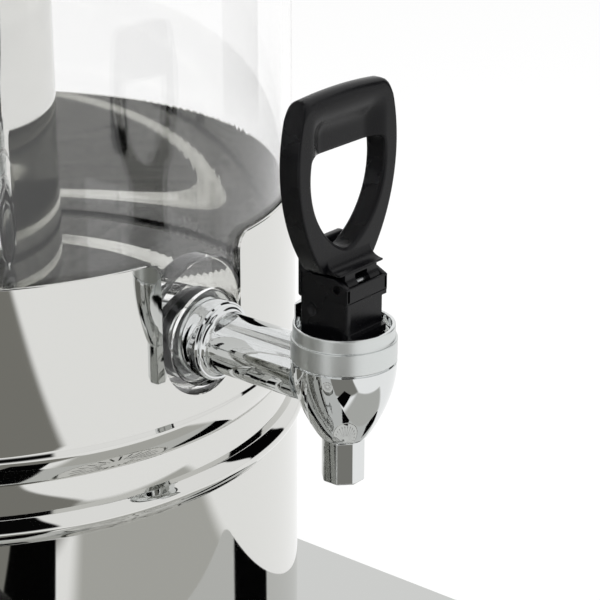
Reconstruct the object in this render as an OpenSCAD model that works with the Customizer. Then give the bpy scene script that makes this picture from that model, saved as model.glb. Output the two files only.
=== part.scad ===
// Double juice dispenser: two clear tanks in mirror steel collars on pedestals,
// on one folded steel base. Each tank has a lever tap, an ice tube, a lid and a drip tray.
// Millimetres, +Z up, taps towards -Y, origin on the table under the middle of the base.

/* [Base] */
// Distance between the two tank axes
unit_pitch = 260; // [250:1:320]
// From a tank axis to the side edge of the base
side_margin = 154; // [135:1:200]
// From the tank axes to the front edge of the base
front_reach = 224; // [222:1:270]
// From the tank axes to the rear edge of the base
rear_reach = 130; // [120:1:180]
// Corner radius of the base
base_corner = 14; // [6:1:24]
// Sheet thickness of the base
base_sheet = 1.2; // [0.8:0.1:2]
// Height of the folded skirt of the base
skirt_height = 20; // [16:1:30]

/* [Feet] */
// Gap between the table and the skirt
foot_lift = 8; // [4:1:16]
// Radius of a rubber foot
foot_radius = 13; // [10:1:18]
// From the base edges to the axis of a foot
foot_inset = 30; // [22:1:45]
// Radius of the foot screws
foot_screw_radius = 2.5; // [2:0.1:3]
// Height of the threaded boss under the base that takes a foot screw
boss_height = 6; // [4:0.5:8]

/* [Pedestal] */
// How far a pedestal stands out past the collar
pedestal_step = 0.5; // [0.3:0.1:2]
// Height of a pedestal from the base to its top ledge
pedestal_height = 119.8; // [100:1:160]
// Sheet thickness of a pedestal
pedestal_sheet = 1; // [0.8:0.1:1.6]
// Height of the roll bead at the top of a pedestal
bead_height = 8.1; // [6:0.1:12]
// How far the roll bead stands out
bead_bulge = 2.4; // [1:0.1:4]
// Width of the inward flanges of a pedestal and of the collar on it
flange_width = 20; // [16:1:26]
// Radius of the pedestal screws
pedestal_screw_radius = 2; // [1.5:0.1:2.5]

/* [Collar] */
// Outer radius of a collar
collar_radius = 106.8; // [104:0.1:112]
// Sheet thickness of a collar
collar_sheet = 0.9; // [0.7:0.1:1.4]
// Height of the plain sleeve of a collar
sleeve_height = 50.5; // [48:0.5:70]
// Height of the flared bead below the sleeve
flare_height = 10; // [7:0.5:14]
// How far the flared bead stands out
flare_bulge = 4; // [1.5:0.1:5]
// Height of the band below the flared bead
band_height = 9.7; // [7:0.1:14]
// How far the band stands out
band_bulge = 1.2; // [0.4:0.1:2]
// How far the collar draws in at the groove between bead and band
groove_depth = 1.8; // [0.8:0.1:2.4]
// Radius of the notch corners at the rim
notch_corner = 7.5; // [2:0.5:10]
// How far the notch sits towards the middle of the row
notch_shift = 3.1; // [0:0.1:4]
// Clearance between the tap flange and the nearer side of the notch
notch_clearance = 1.9; // [1:0.1:4]

/* [Tank] */
// Clearance between a tank and its collar
tank_clearance = 0.3; // [0.3:0.05:1]
// Wall thickness of a tank
tank_wall = 3; // [2:0.1:4]
// Floor thickness of a tank
tank_floor = 4; // [3:0.1:6]
// Height of a tank
tank_height = 301; // [240:1:340]
// How deep a tank sits below the rim of its collar
tank_sink = 51; // [50:0.5:54]
// Radius of the clear tap boss inside the tank wall
pad_radius = 20.3; // [19.5:0.1:21]
// From the shank axis of the tap up to the middle of that boss
pad_rise = 4; // [3:0.1:4]
// How deep the flat for the tap is sunk into the tank wall
pad_recess = 3; // [2:0.1:4]
// Thickness of the boss behind that flat
pad_thickness = 8; // [6:0.1:10]
// Height of the thick lip at the tank mouth
lip_height = 6; // [4:0.5:10]
// How far the lip stands out
lip_width = 1.8; // [1:0.1:3]

/* [Tap body] */
// From a tank axis to the axis of its tap barrel
spout_reach = 156.2; // [154:0.1:162]
// From the collar rim down to the shank axis of the tap
tap_drop = 28.8; // [26:0.1:30]
// Radius of the tap shank
shank_radius = 9.2; // [8.6:0.1:10]
// Radius of the threaded tail of the tap
tail_radius = 8.5; // [7:0.1:9]
// Radius of the water way in the shank
way_radius = 5; // [3:0.1:5.5]
// Radius of the flange against the tank
flange_radius = 12; // [11:0.1:13]
// Length of that flange
flange_length = 7.4; // [5:0.1:9]
// Outer radius of the tap barrel
barrel_radius = 15; // [14.8:0.1:16]
// From the shank axis up to the barrel rim
barrel_rise = 17.7; // [17:0.1:20]
// From the shank axis up to the seam under the barrel band
seam_rise = 6.7; // [6:0.1:8]
// From the shank axis down to the bottom of the bowl
bowl_drop = 16.8; // [16:0.1:20]
// Radius of the bowl where the nozzle starts
bowl_tip_radius = 6.6; // [6.4:0.1:7.5]
// Radius of the valve chamber
chamber_radius = 10; // [9.6:0.1:10.2]
// Half width of the lug on the back of the barrel rim
lug_half_width = 6; // [4:0.1:8]
// Height of that lug above the rim
lug_rise = 4; // [2:0.1:6]

/* [Tap nozzle] */
// Radius of the nozzle over its corners
nozzle_radius = 6.4; // [6.3:0.1:7]
// Length of the visible nozzle
nozzle_length = 13.3; // [8:0.1:18]
// Radius of the outlet bore
outlet_radius = 4.2; // [3:0.1:4.4]

/* [Tap fasteners] */
// Thickness of the washer outside the tank
outer_washer = 1; // [0.8:0.1:2]
// Thickness of the washer inside the tank
inner_washer = 2; // [1:0.1:3]
// Radius of the shank washers
washer_radius = 14; // [12:0.1:16]
// Thickness of the shank nut
nut_thickness = 8; // [5:0.1:10]
// Radius of the shank nut over its corners
nut_radius = 15; // [12.5:0.1:16.5]

/* [Tap lever] */
// Half width of the square bonnet
head_half_width = 9; // [8.5:0.1:9.6]
// Radius of the hinge pin
hinge_pin_radius = 1.2; // [0.8:0.1:1.4]
// From the stem axis forward to the hinge pin
hinge_ahead = 4.4; // [4.2:0.1:4.6]
// From the shank axis up to the hinge pin
hinge_rise = 30.8; // [30:0.1:33]
// Radius of the valve stem
stem_radius = 1.8; // [1.5:0.1:2]
// Radius of the cross pin in the stem
stem_pin_radius = 1; // [0.7:0.1:1.1]
// Angle that the lever is pulled through
lever_angle = 40; // [20:1:40]
// Lift of the stem over that angle
stem_lift = 3.55; // [1.5:0.05:3.55]
// Radius of the spring wire
wire_radius = 0.5; // [0.3:0.05:0.7]
// Turns of the spring
spring_turns = 5; // [3:1:7]

/* [Lever loop] */
// Half width of the loop handle
loop_half_width = 21.5; // [18:0.1:24]
// From the hinge pin up to the top of the loop
loop_height = 54.5; // [48:0.5:64]
// Thickness of the loop
loop_thickness = 7; // [6:0.1:8]
// Half width of the finger window
window_half_width = 15.95; // [12:0.05:17]
// Height of the bar over the finger window
grip_bar_height = 16.8; // [12:0.1:20]
// How far the loop sits behind the stem axis
loop_set_back = 2.1; // [1.5:0.1:2.4]

/* [Lid] */
// Sheet thickness of the lid and of the ice tube
lid_sheet = 1; // [0.8:0.1:1.5]
// Rise of the lid from its edge to its neck
lid_rise = 11; // [6:0.5:20]
// Height of the neck that carries the ice tube
neck_height = 3; // [2:0.5:8]
// How far the lid skirt hangs down outside the tank lip
lid_skirt = 10; // [7:0.5:16]
// Clearance between the lid and the pieces in and around it
lid_clearance = 0.6; // [0.4:0.1:1]

/* [Ice tube] */
// Outer radius of the ice tube
ice_radius = 30.5; // [24:0.1:40]
// Gap between the ice tube and the tank floor
ice_floor_gap = 11; // [4:0.5:40]
// Radius of the rounded foot of the ice tube
ice_corner = 6; // [3:0.5:12]
// How far the flange of the ice tube reaches over the lid neck
ice_flange = 6; // [4:0.5:10]
// Depth of the plug of the ice tube cap
cap_plug = 8; // [5:0.5:14]
// Crown of the ice tube cap
cap_crown = 3; // [1:0.5:6]
// Radius of the cap knob
knob_radius = 13; // [10:0.5:18]
// Height of the cap knob
knob_height = 22; // [16:0.5:32]
// Radius of the knob screw
knob_screw_radius = 2; // [1.5:0.1:2.5]

/* [Drip tray] */
// Radius of a drip tray
tray_radius = 54; // [40:0.5:56]
// Height of a drip tray
tray_height = 12; // [11:0.5:30]
// Sheet thickness of a drip tray and its grate
tray_sheet = 1; // [0.8:0.1:1.5]
// Width of the ledge that carries the grate
tray_ledge = 4; // [2:0.5:6]
// Depth of the grate below the tray edge
grate_sink = 2.5; // [2:0.5:7]
// Number of radial slots in the grate
slot_count = 20; // [12:1:24]
// Width of a grate slot
slot_width = 2.6; // [1.5:0.1:3]
// From the middle of the grate to the inner end of a slot
slot_inner = 15; // [14:0.5:24]
// Width of the plain edge of the grate outside the slots
grate_border = 8; // [6:0.5:14]
// Gap around the grate in its tray
grate_gap = 0.5; // [0.3:0.1:1]

/* [Hidden] */
LEFT = -1;
RIGHT = 1;
$fn = 96;
eps = 0.01;
// How far a cut runs past the face that it opens
over = 1;

// Colours
MIRROR_STEEL = [0.82, 0.83, 0.84];
CHROME = [0.78, 0.8, 0.82];
STEEL = [0.6, 0.61, 0.63];
BLACK_PLASTIC = [0.06, 0.06, 0.065];
RUBBER = [0.1, 0.1, 0.1];
CLEAR = [0.85, 0.9, 0.92, 0.35];
SILICONE = [0.9, 0.92, 0.92, 0.6];

// Base: its outline, and the middle of the row behind its own middle
base_width = unit_pitch + 2*side_margin;
base_depth = front_reach + rear_reach;
axis_y = (front_reach - rear_reach)/2;
plate_top = foot_lift + skirt_height;
plate_under = plate_top - base_sheet;
boss_wall = 2.5;
boss_cap = 0.8;
boss_radius = foot_screw_radius + boss_wall;
foot_top = plate_under - boss_height;
foot_taper = 2;
screw_head_ratio = 1.9;
screw_head_height = 2.4;
screw_gap = 0.1;
foot_counterbore = 8;
head_gap = 0.4;
screw_end_gap = 1;
screw_stub = 2;

// Levels from the table up
ledge_z = plate_top + pedestal_height;
band_top = ledge_z + band_height;
flare_top = band_top + flare_height;
rim_z = flare_top + sleeve_height;
tank_bottom = rim_z - tank_sink;
tank_inside = tank_bottom + tank_floor;
tank_top = tank_bottom + tank_height;
tap_z = rim_z - tap_drop;
pad_z = tap_z + pad_rise;
lid_under = tank_top;
neck_top = lid_under + lid_sheet + lid_rise + neck_height;
flange_top = neck_top + lid_sheet;
tube_top = flange_top + cap_plug + lid_sheet;

// Radii of the round stack
groove_radius = collar_radius - groove_depth;
seat_gap = 0.4;
seat_radius = groove_radius - collar_sheet - seat_gap;
seat_sheet = 1;
pedestal_radius = collar_radius + pedestal_step;
tank_radius = collar_radius - collar_sheet - tank_clearance;
pedestal_screw_circle = pedestal_radius - (flange_width + pedestal_sheet)/2;
pedestal_screw_count = 4;
pedestal_nut_height = 1.6*pedestal_screw_radius;
pedestal_nut_radius = 2*pedestal_screw_radius;
band_inset = 0.8;
profile_steps = 12;

// Tap boss in the tank wall, with the flat for the outer washer, and the notch that the flange lifts through
pad_face = tank_radius - pad_recess;
pad_back = pad_face - pad_thickness;
flat_gap = 1;
flat_radius = washer_radius + flat_gap;
notch_radius = flange_radius + notch_shift + notch_clearance;

// Tap along its shank, from the barrel axis back towards the tank
flange_back = spout_reach - pad_face - outer_washer;
flange_front = flange_back - flange_length;
nut_face = spout_reach - pad_back + inner_washer;
tail_stub = 3;
tail_end = nut_face + nut_thickness + tail_stub;
thread_gap = 0.1;
fillet_length = 3;
fillet_step = 1;

// Tap barrel and bowl
lip_step = 0.5;
barrel_lip = 4;
mouth_wall = 1.2;
mouth_radius = barrel_radius - lip_step - mouth_wall;
mouth_depth = 3.4;
lug_thickness = 2.4;
spigot_step = 1;
spigot_radius = chamber_radius + spigot_step;
spigot_rise = 2.1;
spigot_bottom = seam_rise + spigot_rise;
seam_groove = 0.4;
seam_width = 0.6;
bowl_steps = 16;
bowl_power = 0.85;
seat_cone_top = -6.2;
seat_cone_height = 5.5;
nozzle_socket_radius = 5.2;
nozzle_socket_depth = 3;
nozzle_socket_gap = 0.2;
nozzle_chamfer = 1;
press_gap = 0.02;

// Lever, hinge and valve, from the shank axis up
run_gap = 0.05;
body_gap = 0.4;
toe_wall = 1.4;
toe_radius = hinge_pin_radius + toe_wall;
deck_rise = hinge_rise - toe_radius - body_gap;
deck_thickness = 2;
neck_rise = deck_rise - deck_thickness;
ear_thickness = 1.6;
foot_half_width = head_half_width - ear_thickness - body_gap;
ledge_thickness = 0.7;
swing_gap = 0.3;
ledge_front = hinge_ahead + toe_radius + swing_gap + ledge_thickness;
ledge_rise = toe_radius + body_gap + 0.8;
head_back = 8.4;
back_tab_rise = 13.4;
back_tab_step = 1.2;
ear_rise = 6;
ear_slope = 4.6;
front_recess = 1.8;
front_post = 1.6;
clip_depth = 1.8;
clip_height = 4;
clip_drop = 3;
fork_clearance = 0.9;
fork_half_gap = stem_radius + fork_clearance;
fork_height = 3.4;
slot_clearance = 0.35;
slot_half = stem_pin_radius + slot_clearance;
slot_far = hinge_ahead*cos(lever_angle) + stem_lift*sin(lever_angle);
slot_wall = 1.3;
foot_back = slot_far + slot_half + slot_wall;
foot_front = 1.3;
lip_reach = 2.4;
lip_bottom = toe_radius + toe_wall;
lip_edge = 0.6;
lip_flare = 3.6;
lip_half_width = 11.3;
stem_top = hinge_rise + stem_radius + body_gap;
pin_end_gap = 0.2;
plug_clearance = 2;
plug_radius = chamber_radius - plug_clearance;
plug_gap = 0.3;
plug_shoulder = 0.9;
plug_top = seat_cone_top + plug_shoulder;
plug_slope = (chamber_radius - outlet_radius)/seat_cone_height;
plug_shift = plug_gap*sqrt(1 + plug_slope*plug_slope)/plug_slope;
stem_bite = 2.5;
stem_foot = seat_cone_top - stem_bite;
spring_clearance = 2.6;
coil_gap = 0.1;
spring_radius = stem_radius + spring_clearance;
spring_bottom = plug_top + wire_radius + coil_gap;
spring_top = spigot_bottom - wire_radius - coil_gap;
wire_sides = 8;
steps_per_turn = 16;

// Lever loop outline: side arcs that meet the crowned top
side_arc = 50;
side_arc_drop = 19.5;
side_arc_rise = loop_height - side_arc_drop;
crown_arc = 160;
loop_corner = 3;
window_arc = 25;
window_arc_drop = 22.5;
window_arc_rise = loop_height - window_arc_drop;
window_top = loop_height - grip_bar_height;
window_corner = 2.5;
scoop_radius = 14;
scoop_depth = 2.4;
scoop_half_width = 15.5;
scoop_drop = 1.5;

// Lid, ice tube and cap
lip_radius = tank_radius + lip_width;
skirt_inner = lip_radius + lid_clearance;
neck_inner = ice_radius + lid_clearance;
neck_outer = neck_inner + lid_sheet;
ice_bottom = tank_inside + ice_floor_gap;
tube_flange = ice_radius + ice_flange;
cap_overhang = 3;
cap_radius = ice_radius + cap_overhang;
plug_wall = 1;
cap_plug_radius = ice_radius - lid_sheet - lid_clearance;
cap_top = tube_top + lid_sheet + cap_crown;
knob_foot_step = 3;
knob_waist = 5;
knob_dome_share = 0.4;
cap_flat = knob_radius - knob_foot_step;
knob_stem = knob_height*(1 - knob_dome_share);

// Drip tray in the strip of base between the pedestal and the front edge
tray_y = -(front_reach + pedestal_radius + bead_bulge)/2;
grate_z = plate_top + tray_height - grate_sink - tray_sheet;
grate_radius = tray_radius - tray_sheet - grate_gap;
slot_length = grate_radius - grate_border - slot_inner;

// Helpers

// Points of a sheet profile that swells between two radii
function swell(r0, r1, z0, z1, bulge) =
    [for (i = [0:profile_steps]) let (t = i/profile_steps)
        [r0 + (r1 - r0)*t + bulge*sin(180*t), z0 + (z1 - z0)*t]];

// Points of a bead that swells like that below and runs out softly into the wall above
function run_out(r0, r1, z0, z1, bulge) =
    [for (i = [0:profile_steps]) let (t = i/profile_steps)
        [r0 + (r1 - r0)*t + bulge*(t < 0.5 ? sin(180*t) : pow(sin(180*t), 2)), z0 + (z1 - z0)*t]];

// A point list moved inwards by one sheet thickness, in reverse order
function inside(points, sheet) =
    [for (i = [len(points) - 1:-1:0]) [points[i][0] - sheet, points[i][1]]];

module in_unit(side) translate([side*unit_pitch/2, axis_y, 0]) children();

module in_tap(side) in_unit(side) translate([0, -spout_reach, tap_z]) children();

module along_y(y) translate([0, y, 0]) rotate([-90, 0, 0]) children();

module along_x(x) translate([x, 0, 0]) rotate([0, 90, 0]) children();

module rounded_plate(width, depth, corner, height) {
    linear_extrude(height) {
        square([width - 2*corner, depth], center = true);
        square([width, depth - 2*corner], center = true);
        for (x = [-1, 1], y = [-1, 1])
            translate([x*(width/2 - corner), y*(depth/2 - corner)]) circle(corner);
    }
}

module at_feet() {
    for (x = [-1, 0, 1], y = [-1, 1])
        translate([x*(base_width/2 - foot_inset), y*(base_depth/2 - foot_inset), 0]) children();
}

module at_pedestal_screws() {
    for (side = [LEFT, RIGHT]) in_unit(side)
        for (i = [0:pedestal_screw_count - 1])
            rotate(45 + i*360/pedestal_screw_count) translate([pedestal_screw_circle, 0, 0]) children();
}

// Base

module base_plate() {
    color(MIRROR_STEEL) difference() {
        translate([0, 0, foot_lift]) rounded_plate(base_width, base_depth, base_corner, skirt_height);
        translate([0, 0, foot_lift - over])
            rounded_plate(base_width - 2*base_sheet, base_depth - 2*base_sheet,
                base_corner - base_sheet, skirt_height - base_sheet + over);
        at_pedestal_screws() translate([0, 0, plate_under - over])
            cylinder(r = pedestal_screw_radius + screw_gap, h = base_sheet + 2*over);
    }
}

// Threaded bosses welded under the sheet, one for each foot
module foot_bosses() {
    color(STEEL) at_feet() translate([0, 0, foot_top]) difference() {
        cylinder(r = boss_radius, h = boss_height);
        translate([0, 0, -over]) cylinder(r = foot_screw_radius, h = boss_height - boss_cap + over);
    }
}

module rubber_feet() {
    color(RUBBER) at_feet() difference() {
        cylinder(r1 = foot_radius - foot_taper, r2 = foot_radius, h = foot_top);
        translate([0, 0, -over]) cylinder(r = foot_screw_radius + screw_gap, h = foot_top + 2*over);
        translate([0, 0, -over])
            cylinder(r = foot_screw_radius*screw_head_ratio + head_gap, h = foot_counterbore + over);
    }
}

module foot_screws() {
    color(STEEL) at_feet() {
        translate([0, 0, foot_counterbore - screw_head_height])
            cylinder(r = foot_screw_radius*screw_head_ratio, h = screw_head_height);
        translate([0, 0, foot_counterbore - eps])
            cylinder(r = foot_screw_radius - press_gap,
                h = plate_under - boss_cap - screw_end_gap - foot_counterbore);
    }
}

module pedestal_screws() {
    color(STEEL) at_pedestal_screws() {
        translate([0, 0, plate_under - screw_head_height])
            cylinder(r = pedestal_screw_radius*screw_head_ratio, h = screw_head_height);
        translate([0, 0, plate_under - eps])
            cylinder(r = pedestal_screw_radius,
                h = base_sheet + pedestal_sheet + pedestal_nut_height + screw_stub);
    }
}

module pedestal_nuts() {
    color(STEEL) at_pedestal_screws() translate([0, 0, plate_top + pedestal_sheet]) difference() {
        cylinder(r = pedestal_nut_radius, h = pedestal_nut_height, $fn = 6);
        translate([0, 0, -over])
            cylinder(r = pedestal_screw_radius + press_gap, h = pedestal_nut_height + 2*over);
    }
}

// Pedestal and collar

module pedestal(side) {
    wall = concat(
        [[pedestal_radius, plate_top]],
        swell(pedestal_radius, pedestal_radius, ledge_z - bead_height, ledge_z, bead_bulge));
    inner_wall = swell(pedestal_radius, pedestal_radius,
        ledge_z - bead_height, ledge_z - pedestal_sheet, bead_bulge);
    outline = concat(
        wall,
        [[pedestal_radius - flange_width, ledge_z],
         [pedestal_radius - flange_width, ledge_z - pedestal_sheet]],
        inside(inner_wall, pedestal_sheet),
        [[pedestal_radius - pedestal_sheet, plate_top + pedestal_sheet],
         [pedestal_radius - flange_width, plate_top + pedestal_sheet],
         [pedestal_radius - flange_width, plate_top]]);
    color(MIRROR_STEEL) difference() {
        in_unit(side) rotate_extrude() polygon(outline);
        at_pedestal_screws() translate([0, 0, plate_top - over])
            cylinder(r = pedestal_screw_radius + screw_gap, h = pedestal_sheet + 2*over);
    }
}

module collar(side) {
    band_foot = collar_radius - band_inset;
    bead = run_out(groove_radius, collar_radius, band_top, flare_top, flare_bulge);
    wall = concat(swell(band_foot, groove_radius, ledge_z, band_top, band_bulge), bead);
    inner_wall = concat(
        swell(band_foot, groove_radius, ledge_z + collar_sheet, band_top, band_bulge), bead);
    outline = concat(
        [[pedestal_radius - flange_width, ledge_z]],
        wall,
        [[collar_radius, rim_z], [collar_radius - collar_sheet, rim_z]],
        inside(inner_wall, collar_sheet),
        [[pedestal_radius - flange_width, ledge_z + collar_sheet]]);
    color(MIRROR_STEEL) in_unit(side) difference() {
        rotate_extrude() polygon(outline);
        translate([-side*notch_shift, 0, 0]) {
            translate([0, -collar_radius/2, tap_z]) rotate([90, 0, 0])
                cylinder(r = notch_radius, h = collar_radius);
            translate([-notch_radius, -1.5*collar_radius, tap_z])
                cube([2*notch_radius, collar_radius, tap_drop + over]);
            for (x = [-1, 1]) difference() {
                translate([x*(notch_radius + notch_corner/2), -collar_radius, rim_z - notch_corner/2 + over/2])
                    cube([notch_corner, collar_radius, notch_corner + over], center = true);
                translate([x*(notch_radius + notch_corner), -collar_radius/2, rim_z - notch_corner])
                    rotate([90, 0, 0]) cylinder(r = notch_corner, h = collar_radius);
            }
        }
    }
}

module tank_seat(side) {
    skirt_bottom = ledge_z + collar_sheet;
    color(MIRROR_STEEL) in_unit(side) difference() {
        translate([0, 0, skirt_bottom]) cylinder(r = seat_radius, h = tank_bottom - skirt_bottom);
        translate([0, 0, skirt_bottom - over])
            cylinder(r = seat_radius - seat_sheet, h = tank_bottom - skirt_bottom - seat_sheet + over);
    }
}

// Tank

module tank(side) {
    color(CLEAR) in_unit(side) difference() {
        union() {
            difference() {
                union() {
                    translate([0, 0, tank_bottom]) cylinder(r = tank_radius, h = tank_height);
                    translate([0, 0, tank_top - lip_height]) cylinder(r = lip_radius, h = lip_height);
                }
                translate([0, 0, tank_inside]) cylinder(r = tank_radius - tank_wall, h = tank_height);
            }
            intersection() {
                translate([0, 0, pad_z]) along_y(-tank_radius)
                    cylinder(r = pad_radius, h = pad_recess + pad_thickness);
                translate([0, 0, tank_bottom]) cylinder(r = tank_radius, h = tank_height);
            }
        }
        translate([0, 0, tap_z]) along_y(-tank_radius - over) {
            cylinder(r = flat_radius, h = pad_recess + over);
            cylinder(r = tail_radius + thread_gap, h = pad_recess + pad_thickness + 2*over);
        }
    }
}

// Tap

module bowl_skin() {
    bowl = [for (i = [0:bowl_steps]) let (t = i/bowl_steps)
        [bowl_tip_radius + (barrel_radius - bowl_tip_radius)*pow(cos(90*t), bowl_power),
         seam_rise - (seam_rise + bowl_drop)*t]];
    rotate_extrude() polygon(concat(
        [[0, barrel_rise], [barrel_radius - lip_step, barrel_rise],
         [barrel_radius - lip_step, barrel_rise - barrel_lip], [barrel_radius, barrel_rise - barrel_lip],
         [barrel_radius, seam_rise + seam_width], [barrel_radius - seam_groove, seam_rise + seam_width],
         [barrel_radius - seam_groove, seam_rise]],
        bowl,
        [[0, -bowl_drop]]));
}

module valve_chamber() {
    rotate_extrude() polygon([
        [0, barrel_rise + over], [mouth_radius, barrel_rise + over],
        [mouth_radius, barrel_rise - mouth_depth], [spigot_radius, barrel_rise - mouth_depth],
        [spigot_radius, spigot_bottom], [chamber_radius, spigot_bottom],
        [chamber_radius, seat_cone_top], [outlet_radius, seat_cone_top - seat_cone_height],
        [outlet_radius, nozzle_socket_depth - bowl_drop],
        [nozzle_socket_radius, nozzle_socket_depth - bowl_drop],
        [nozzle_socket_radius, -bowl_drop - over], [0, -bowl_drop - over]]);
}

module tap_body(side) {
    color(CHROME) in_tap(side) difference() {
        union() {
            bowl_skin();
            intersection() {
                cylinder(r = barrel_radius - lip_step, h = barrel_rise + lug_rise);
                translate([-lug_half_width, barrel_radius - lug_thickness, 0])
                    cube([2*lug_half_width, lug_thickness, barrel_rise + lug_rise]);
            }
            along_y(chamber_radius) cylinder(r = shank_radius, h = flange_back - chamber_radius);
            along_y(flange_front - fillet_length)
                cylinder(r1 = shank_radius, r2 = flange_radius - fillet_step, h = fillet_length);
            along_y(flange_front) cylinder(r = flange_radius, h = flange_length);
            along_y(flange_back - eps) cylinder(r = tail_radius, h = tail_end - flange_back);
        }
        valve_chamber();
        along_y(0) cylinder(r = way_radius, h = tail_end + over);
    }
}

module tap_nozzle(side) {
    color(CHROME) in_tap(side) translate([0, 0, -bowl_drop]) difference() {
        union() {
            intersection() {
                translate([0, 0, -nozzle_length]) rotate(22.5)
                    cylinder(r = nozzle_radius, h = nozzle_length, $fn = 8);
                rotate_extrude() polygon([[0, 0], [nozzle_radius + over, 0],
                    [nozzle_radius + over, nozzle_chamfer + over - nozzle_length],
                    [nozzle_radius - nozzle_chamfer, -nozzle_length], [0, -nozzle_length]]);
            }
            translate([0, 0, -eps])
                cylinder(r = nozzle_socket_radius - press_gap, h = nozzle_socket_depth - nozzle_socket_gap);
        }
        translate([0, 0, -nozzle_length - over])
            cylinder(r = outlet_radius, h = nozzle_length + nozzle_socket_depth + 2*over);
    }
}

module shank_washer(thickness) {
    difference() {
        cylinder(r = washer_radius, h = thickness);
        translate([0, 0, -over]) cylinder(r = tail_radius + thread_gap, h = thickness + 2*over);
    }
}

module tap_outer_washer(side) color(SILICONE) in_tap(side) along_y(flange_back) shank_washer(outer_washer);

module tap_inner_washer(side) {
    color(SILICONE) in_tap(side) along_y(nut_face - inner_washer) shank_washer(inner_washer);
}

module tap_nut(side) {
    color(CLEAR) in_tap(side) along_y(nut_face) difference() {
        rotate(30) cylinder(r = nut_radius, h = nut_thickness, $fn = 6);
        translate([0, 0, -over]) cylinder(r = tail_radius + press_gap, h = nut_thickness + 2*over);
    }
}

// Bonnet and lever

module bonnet(side) {
    color(BLACK_PLASTIC) in_tap(side) difference() {
        union() {
            translate([0, 0, spigot_bottom])
                cylinder(r = spigot_radius - press_gap, h = barrel_rise - mouth_depth - spigot_bottom + eps);
            // Square block up to its deck, ears with a sloping front, front ledge and back tab
            translate([-head_half_width, -ledge_front, barrel_rise - mouth_depth])
                cube([2*head_half_width, ledge_front + head_back, deck_rise - barrel_rise + mouth_depth]);
            for (x = [-head_half_width, head_half_width - ear_thickness])
                translate([x, 0, deck_rise]) rotate([90, 0, 90]) linear_extrude(ear_thickness)
                    polygon([[-ledge_front, -over], [-ledge_front, ledge_rise],
                        [ear_slope - ledge_front, ear_rise], [head_back, ear_rise], [head_back, -over]]);
            translate([-head_half_width, -ledge_front, deck_rise - over])
                cube([2*head_half_width, ledge_thickness, ledge_rise + over]);
            translate([-head_half_width, head_back - ear_thickness, deck_rise - over])
                cube([2*head_half_width, ear_thickness + back_tab_step, back_tab_rise + over]);
            translate([-head_half_width/2, head_back - eps, deck_rise - clip_drop])
                cube([head_half_width, clip_depth, clip_height]);
        }
        translate([front_post - head_half_width, -ledge_front - over, barrel_rise])
            cube([2*head_half_width, front_recess + over, neck_rise - barrel_rise]);
        translate([0, 0, spigot_bottom - over])
            cylinder(r = stem_radius + run_gap, h = hinge_rise);
        translate([0, -hinge_ahead, hinge_rise]) along_x(-head_half_width - over)
            cylinder(r = hinge_pin_radius, h = 2*head_half_width + 2*over);
    }
}

module hinge_pin(side) {
    color(STEEL) in_tap(side) translate([0, -hinge_ahead, hinge_rise]) along_x(-head_half_width)
        cylinder(r = hinge_pin_radius, h = 2*head_half_width);
}

// Shield outline of the loop, with the hinge pin as its origin
module loop_outline() {
    offset(r = loop_corner) offset(delta = -loop_corner) intersection() {
        translate([side_arc - loop_half_width, side_arc_rise]) circle(side_arc);
        translate([loop_half_width - side_arc, side_arc_rise]) circle(side_arc);
        translate([0, loop_height - crown_arc]) circle(crown_arc);
        translate([-loop_half_width, -loop_height]) square([2*loop_half_width, 3*loop_height]);
    }
}

module loop_window() {
    offset(r = window_corner) offset(delta = -window_corner) intersection() {
        translate([window_arc - window_half_width, window_arc_rise]) circle(window_arc);
        translate([window_half_width - window_arc, window_arc_rise]) circle(window_arc);
        translate([-loop_half_width, 0]) square([2*loop_half_width, window_top]);
    }
}

module lever_loop() {
    rotate([90, 0, 0]) translate([0, 0, -loop_thickness/2]) linear_extrude(loop_thickness) difference() {
        intersection() {
            loop_outline();
            translate([-loop_half_width, lip_bottom]) square([2*loop_half_width, loop_height]);
        }
        loop_window();
    }
}

module lever_handle(side) {
    back = hinge_ahead + loop_set_back;
    loop_front = back - loop_thickness/2;
    loop_back = back + loop_thickness/2;
    lip_top = lip_bottom + lip_edge + lip_flare;
    flare = [for (i = [0:profile_steps]) let (a = 90*i/profile_steps)
        [(loop_front + lip_reach)*cos(a) - lip_reach, lip_top - lip_flare*sin(a)]];
    color(BLACK_PLASTIC) in_tap(side) translate([0, -hinge_ahead, hinge_rise]) difference() {
        union() {
            difference() {
                translate([0, back, 0]) lever_loop();
                translate([0, loop_front + scoop_depth - scoop_radius,
                        loop_height - grip_bar_height/2 - scoop_drop])
                    along_x(-scoop_half_width) cylinder(r = scoop_radius, h = 2*scoop_half_width);
            }
            // Forked foot: a round toe about the pin, a block over the stem, and a wide lip under the loop
            along_x(-foot_half_width) cylinder(r = toe_radius, h = 2*foot_half_width);
            translate([-foot_half_width, 0, -toe_radius])
                cube([2*foot_half_width, foot_back, 2*toe_radius]);
            translate([-foot_half_width, -foot_front, 0])
                cube([2*foot_half_width, foot_front + loop_back, lip_bottom + lip_edge]);
            translate([-lip_half_width, 0, 0]) rotate([90, 0, 90]) linear_extrude(2*lip_half_width)
                polygon(concat(flare,
                    [[-lip_reach, lip_bottom], [loop_back, lip_bottom], [loop_back, lip_top]]));
        }
        translate([-fork_half_gap, -toe_radius - over, -toe_radius - over])
            cube([2*fork_half_gap, foot_back + toe_radius + 2*over, toe_radius + over + fork_height]);
        along_x(-foot_half_width - over)
            cylinder(r = hinge_pin_radius + run_gap, h = 2*foot_half_width + 2*over);
        for (y = [hinge_ahead, slot_far]) translate([0, y, 0])
            along_x(-foot_half_width - over) cylinder(r = slot_half, h = 2*foot_half_width + 2*over);
        translate([-foot_half_width - over, hinge_ahead, -slot_half])
            cube([2*foot_half_width + 2*over, slot_far - hinge_ahead, 2*slot_half]);
    }
}

// Valve

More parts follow.
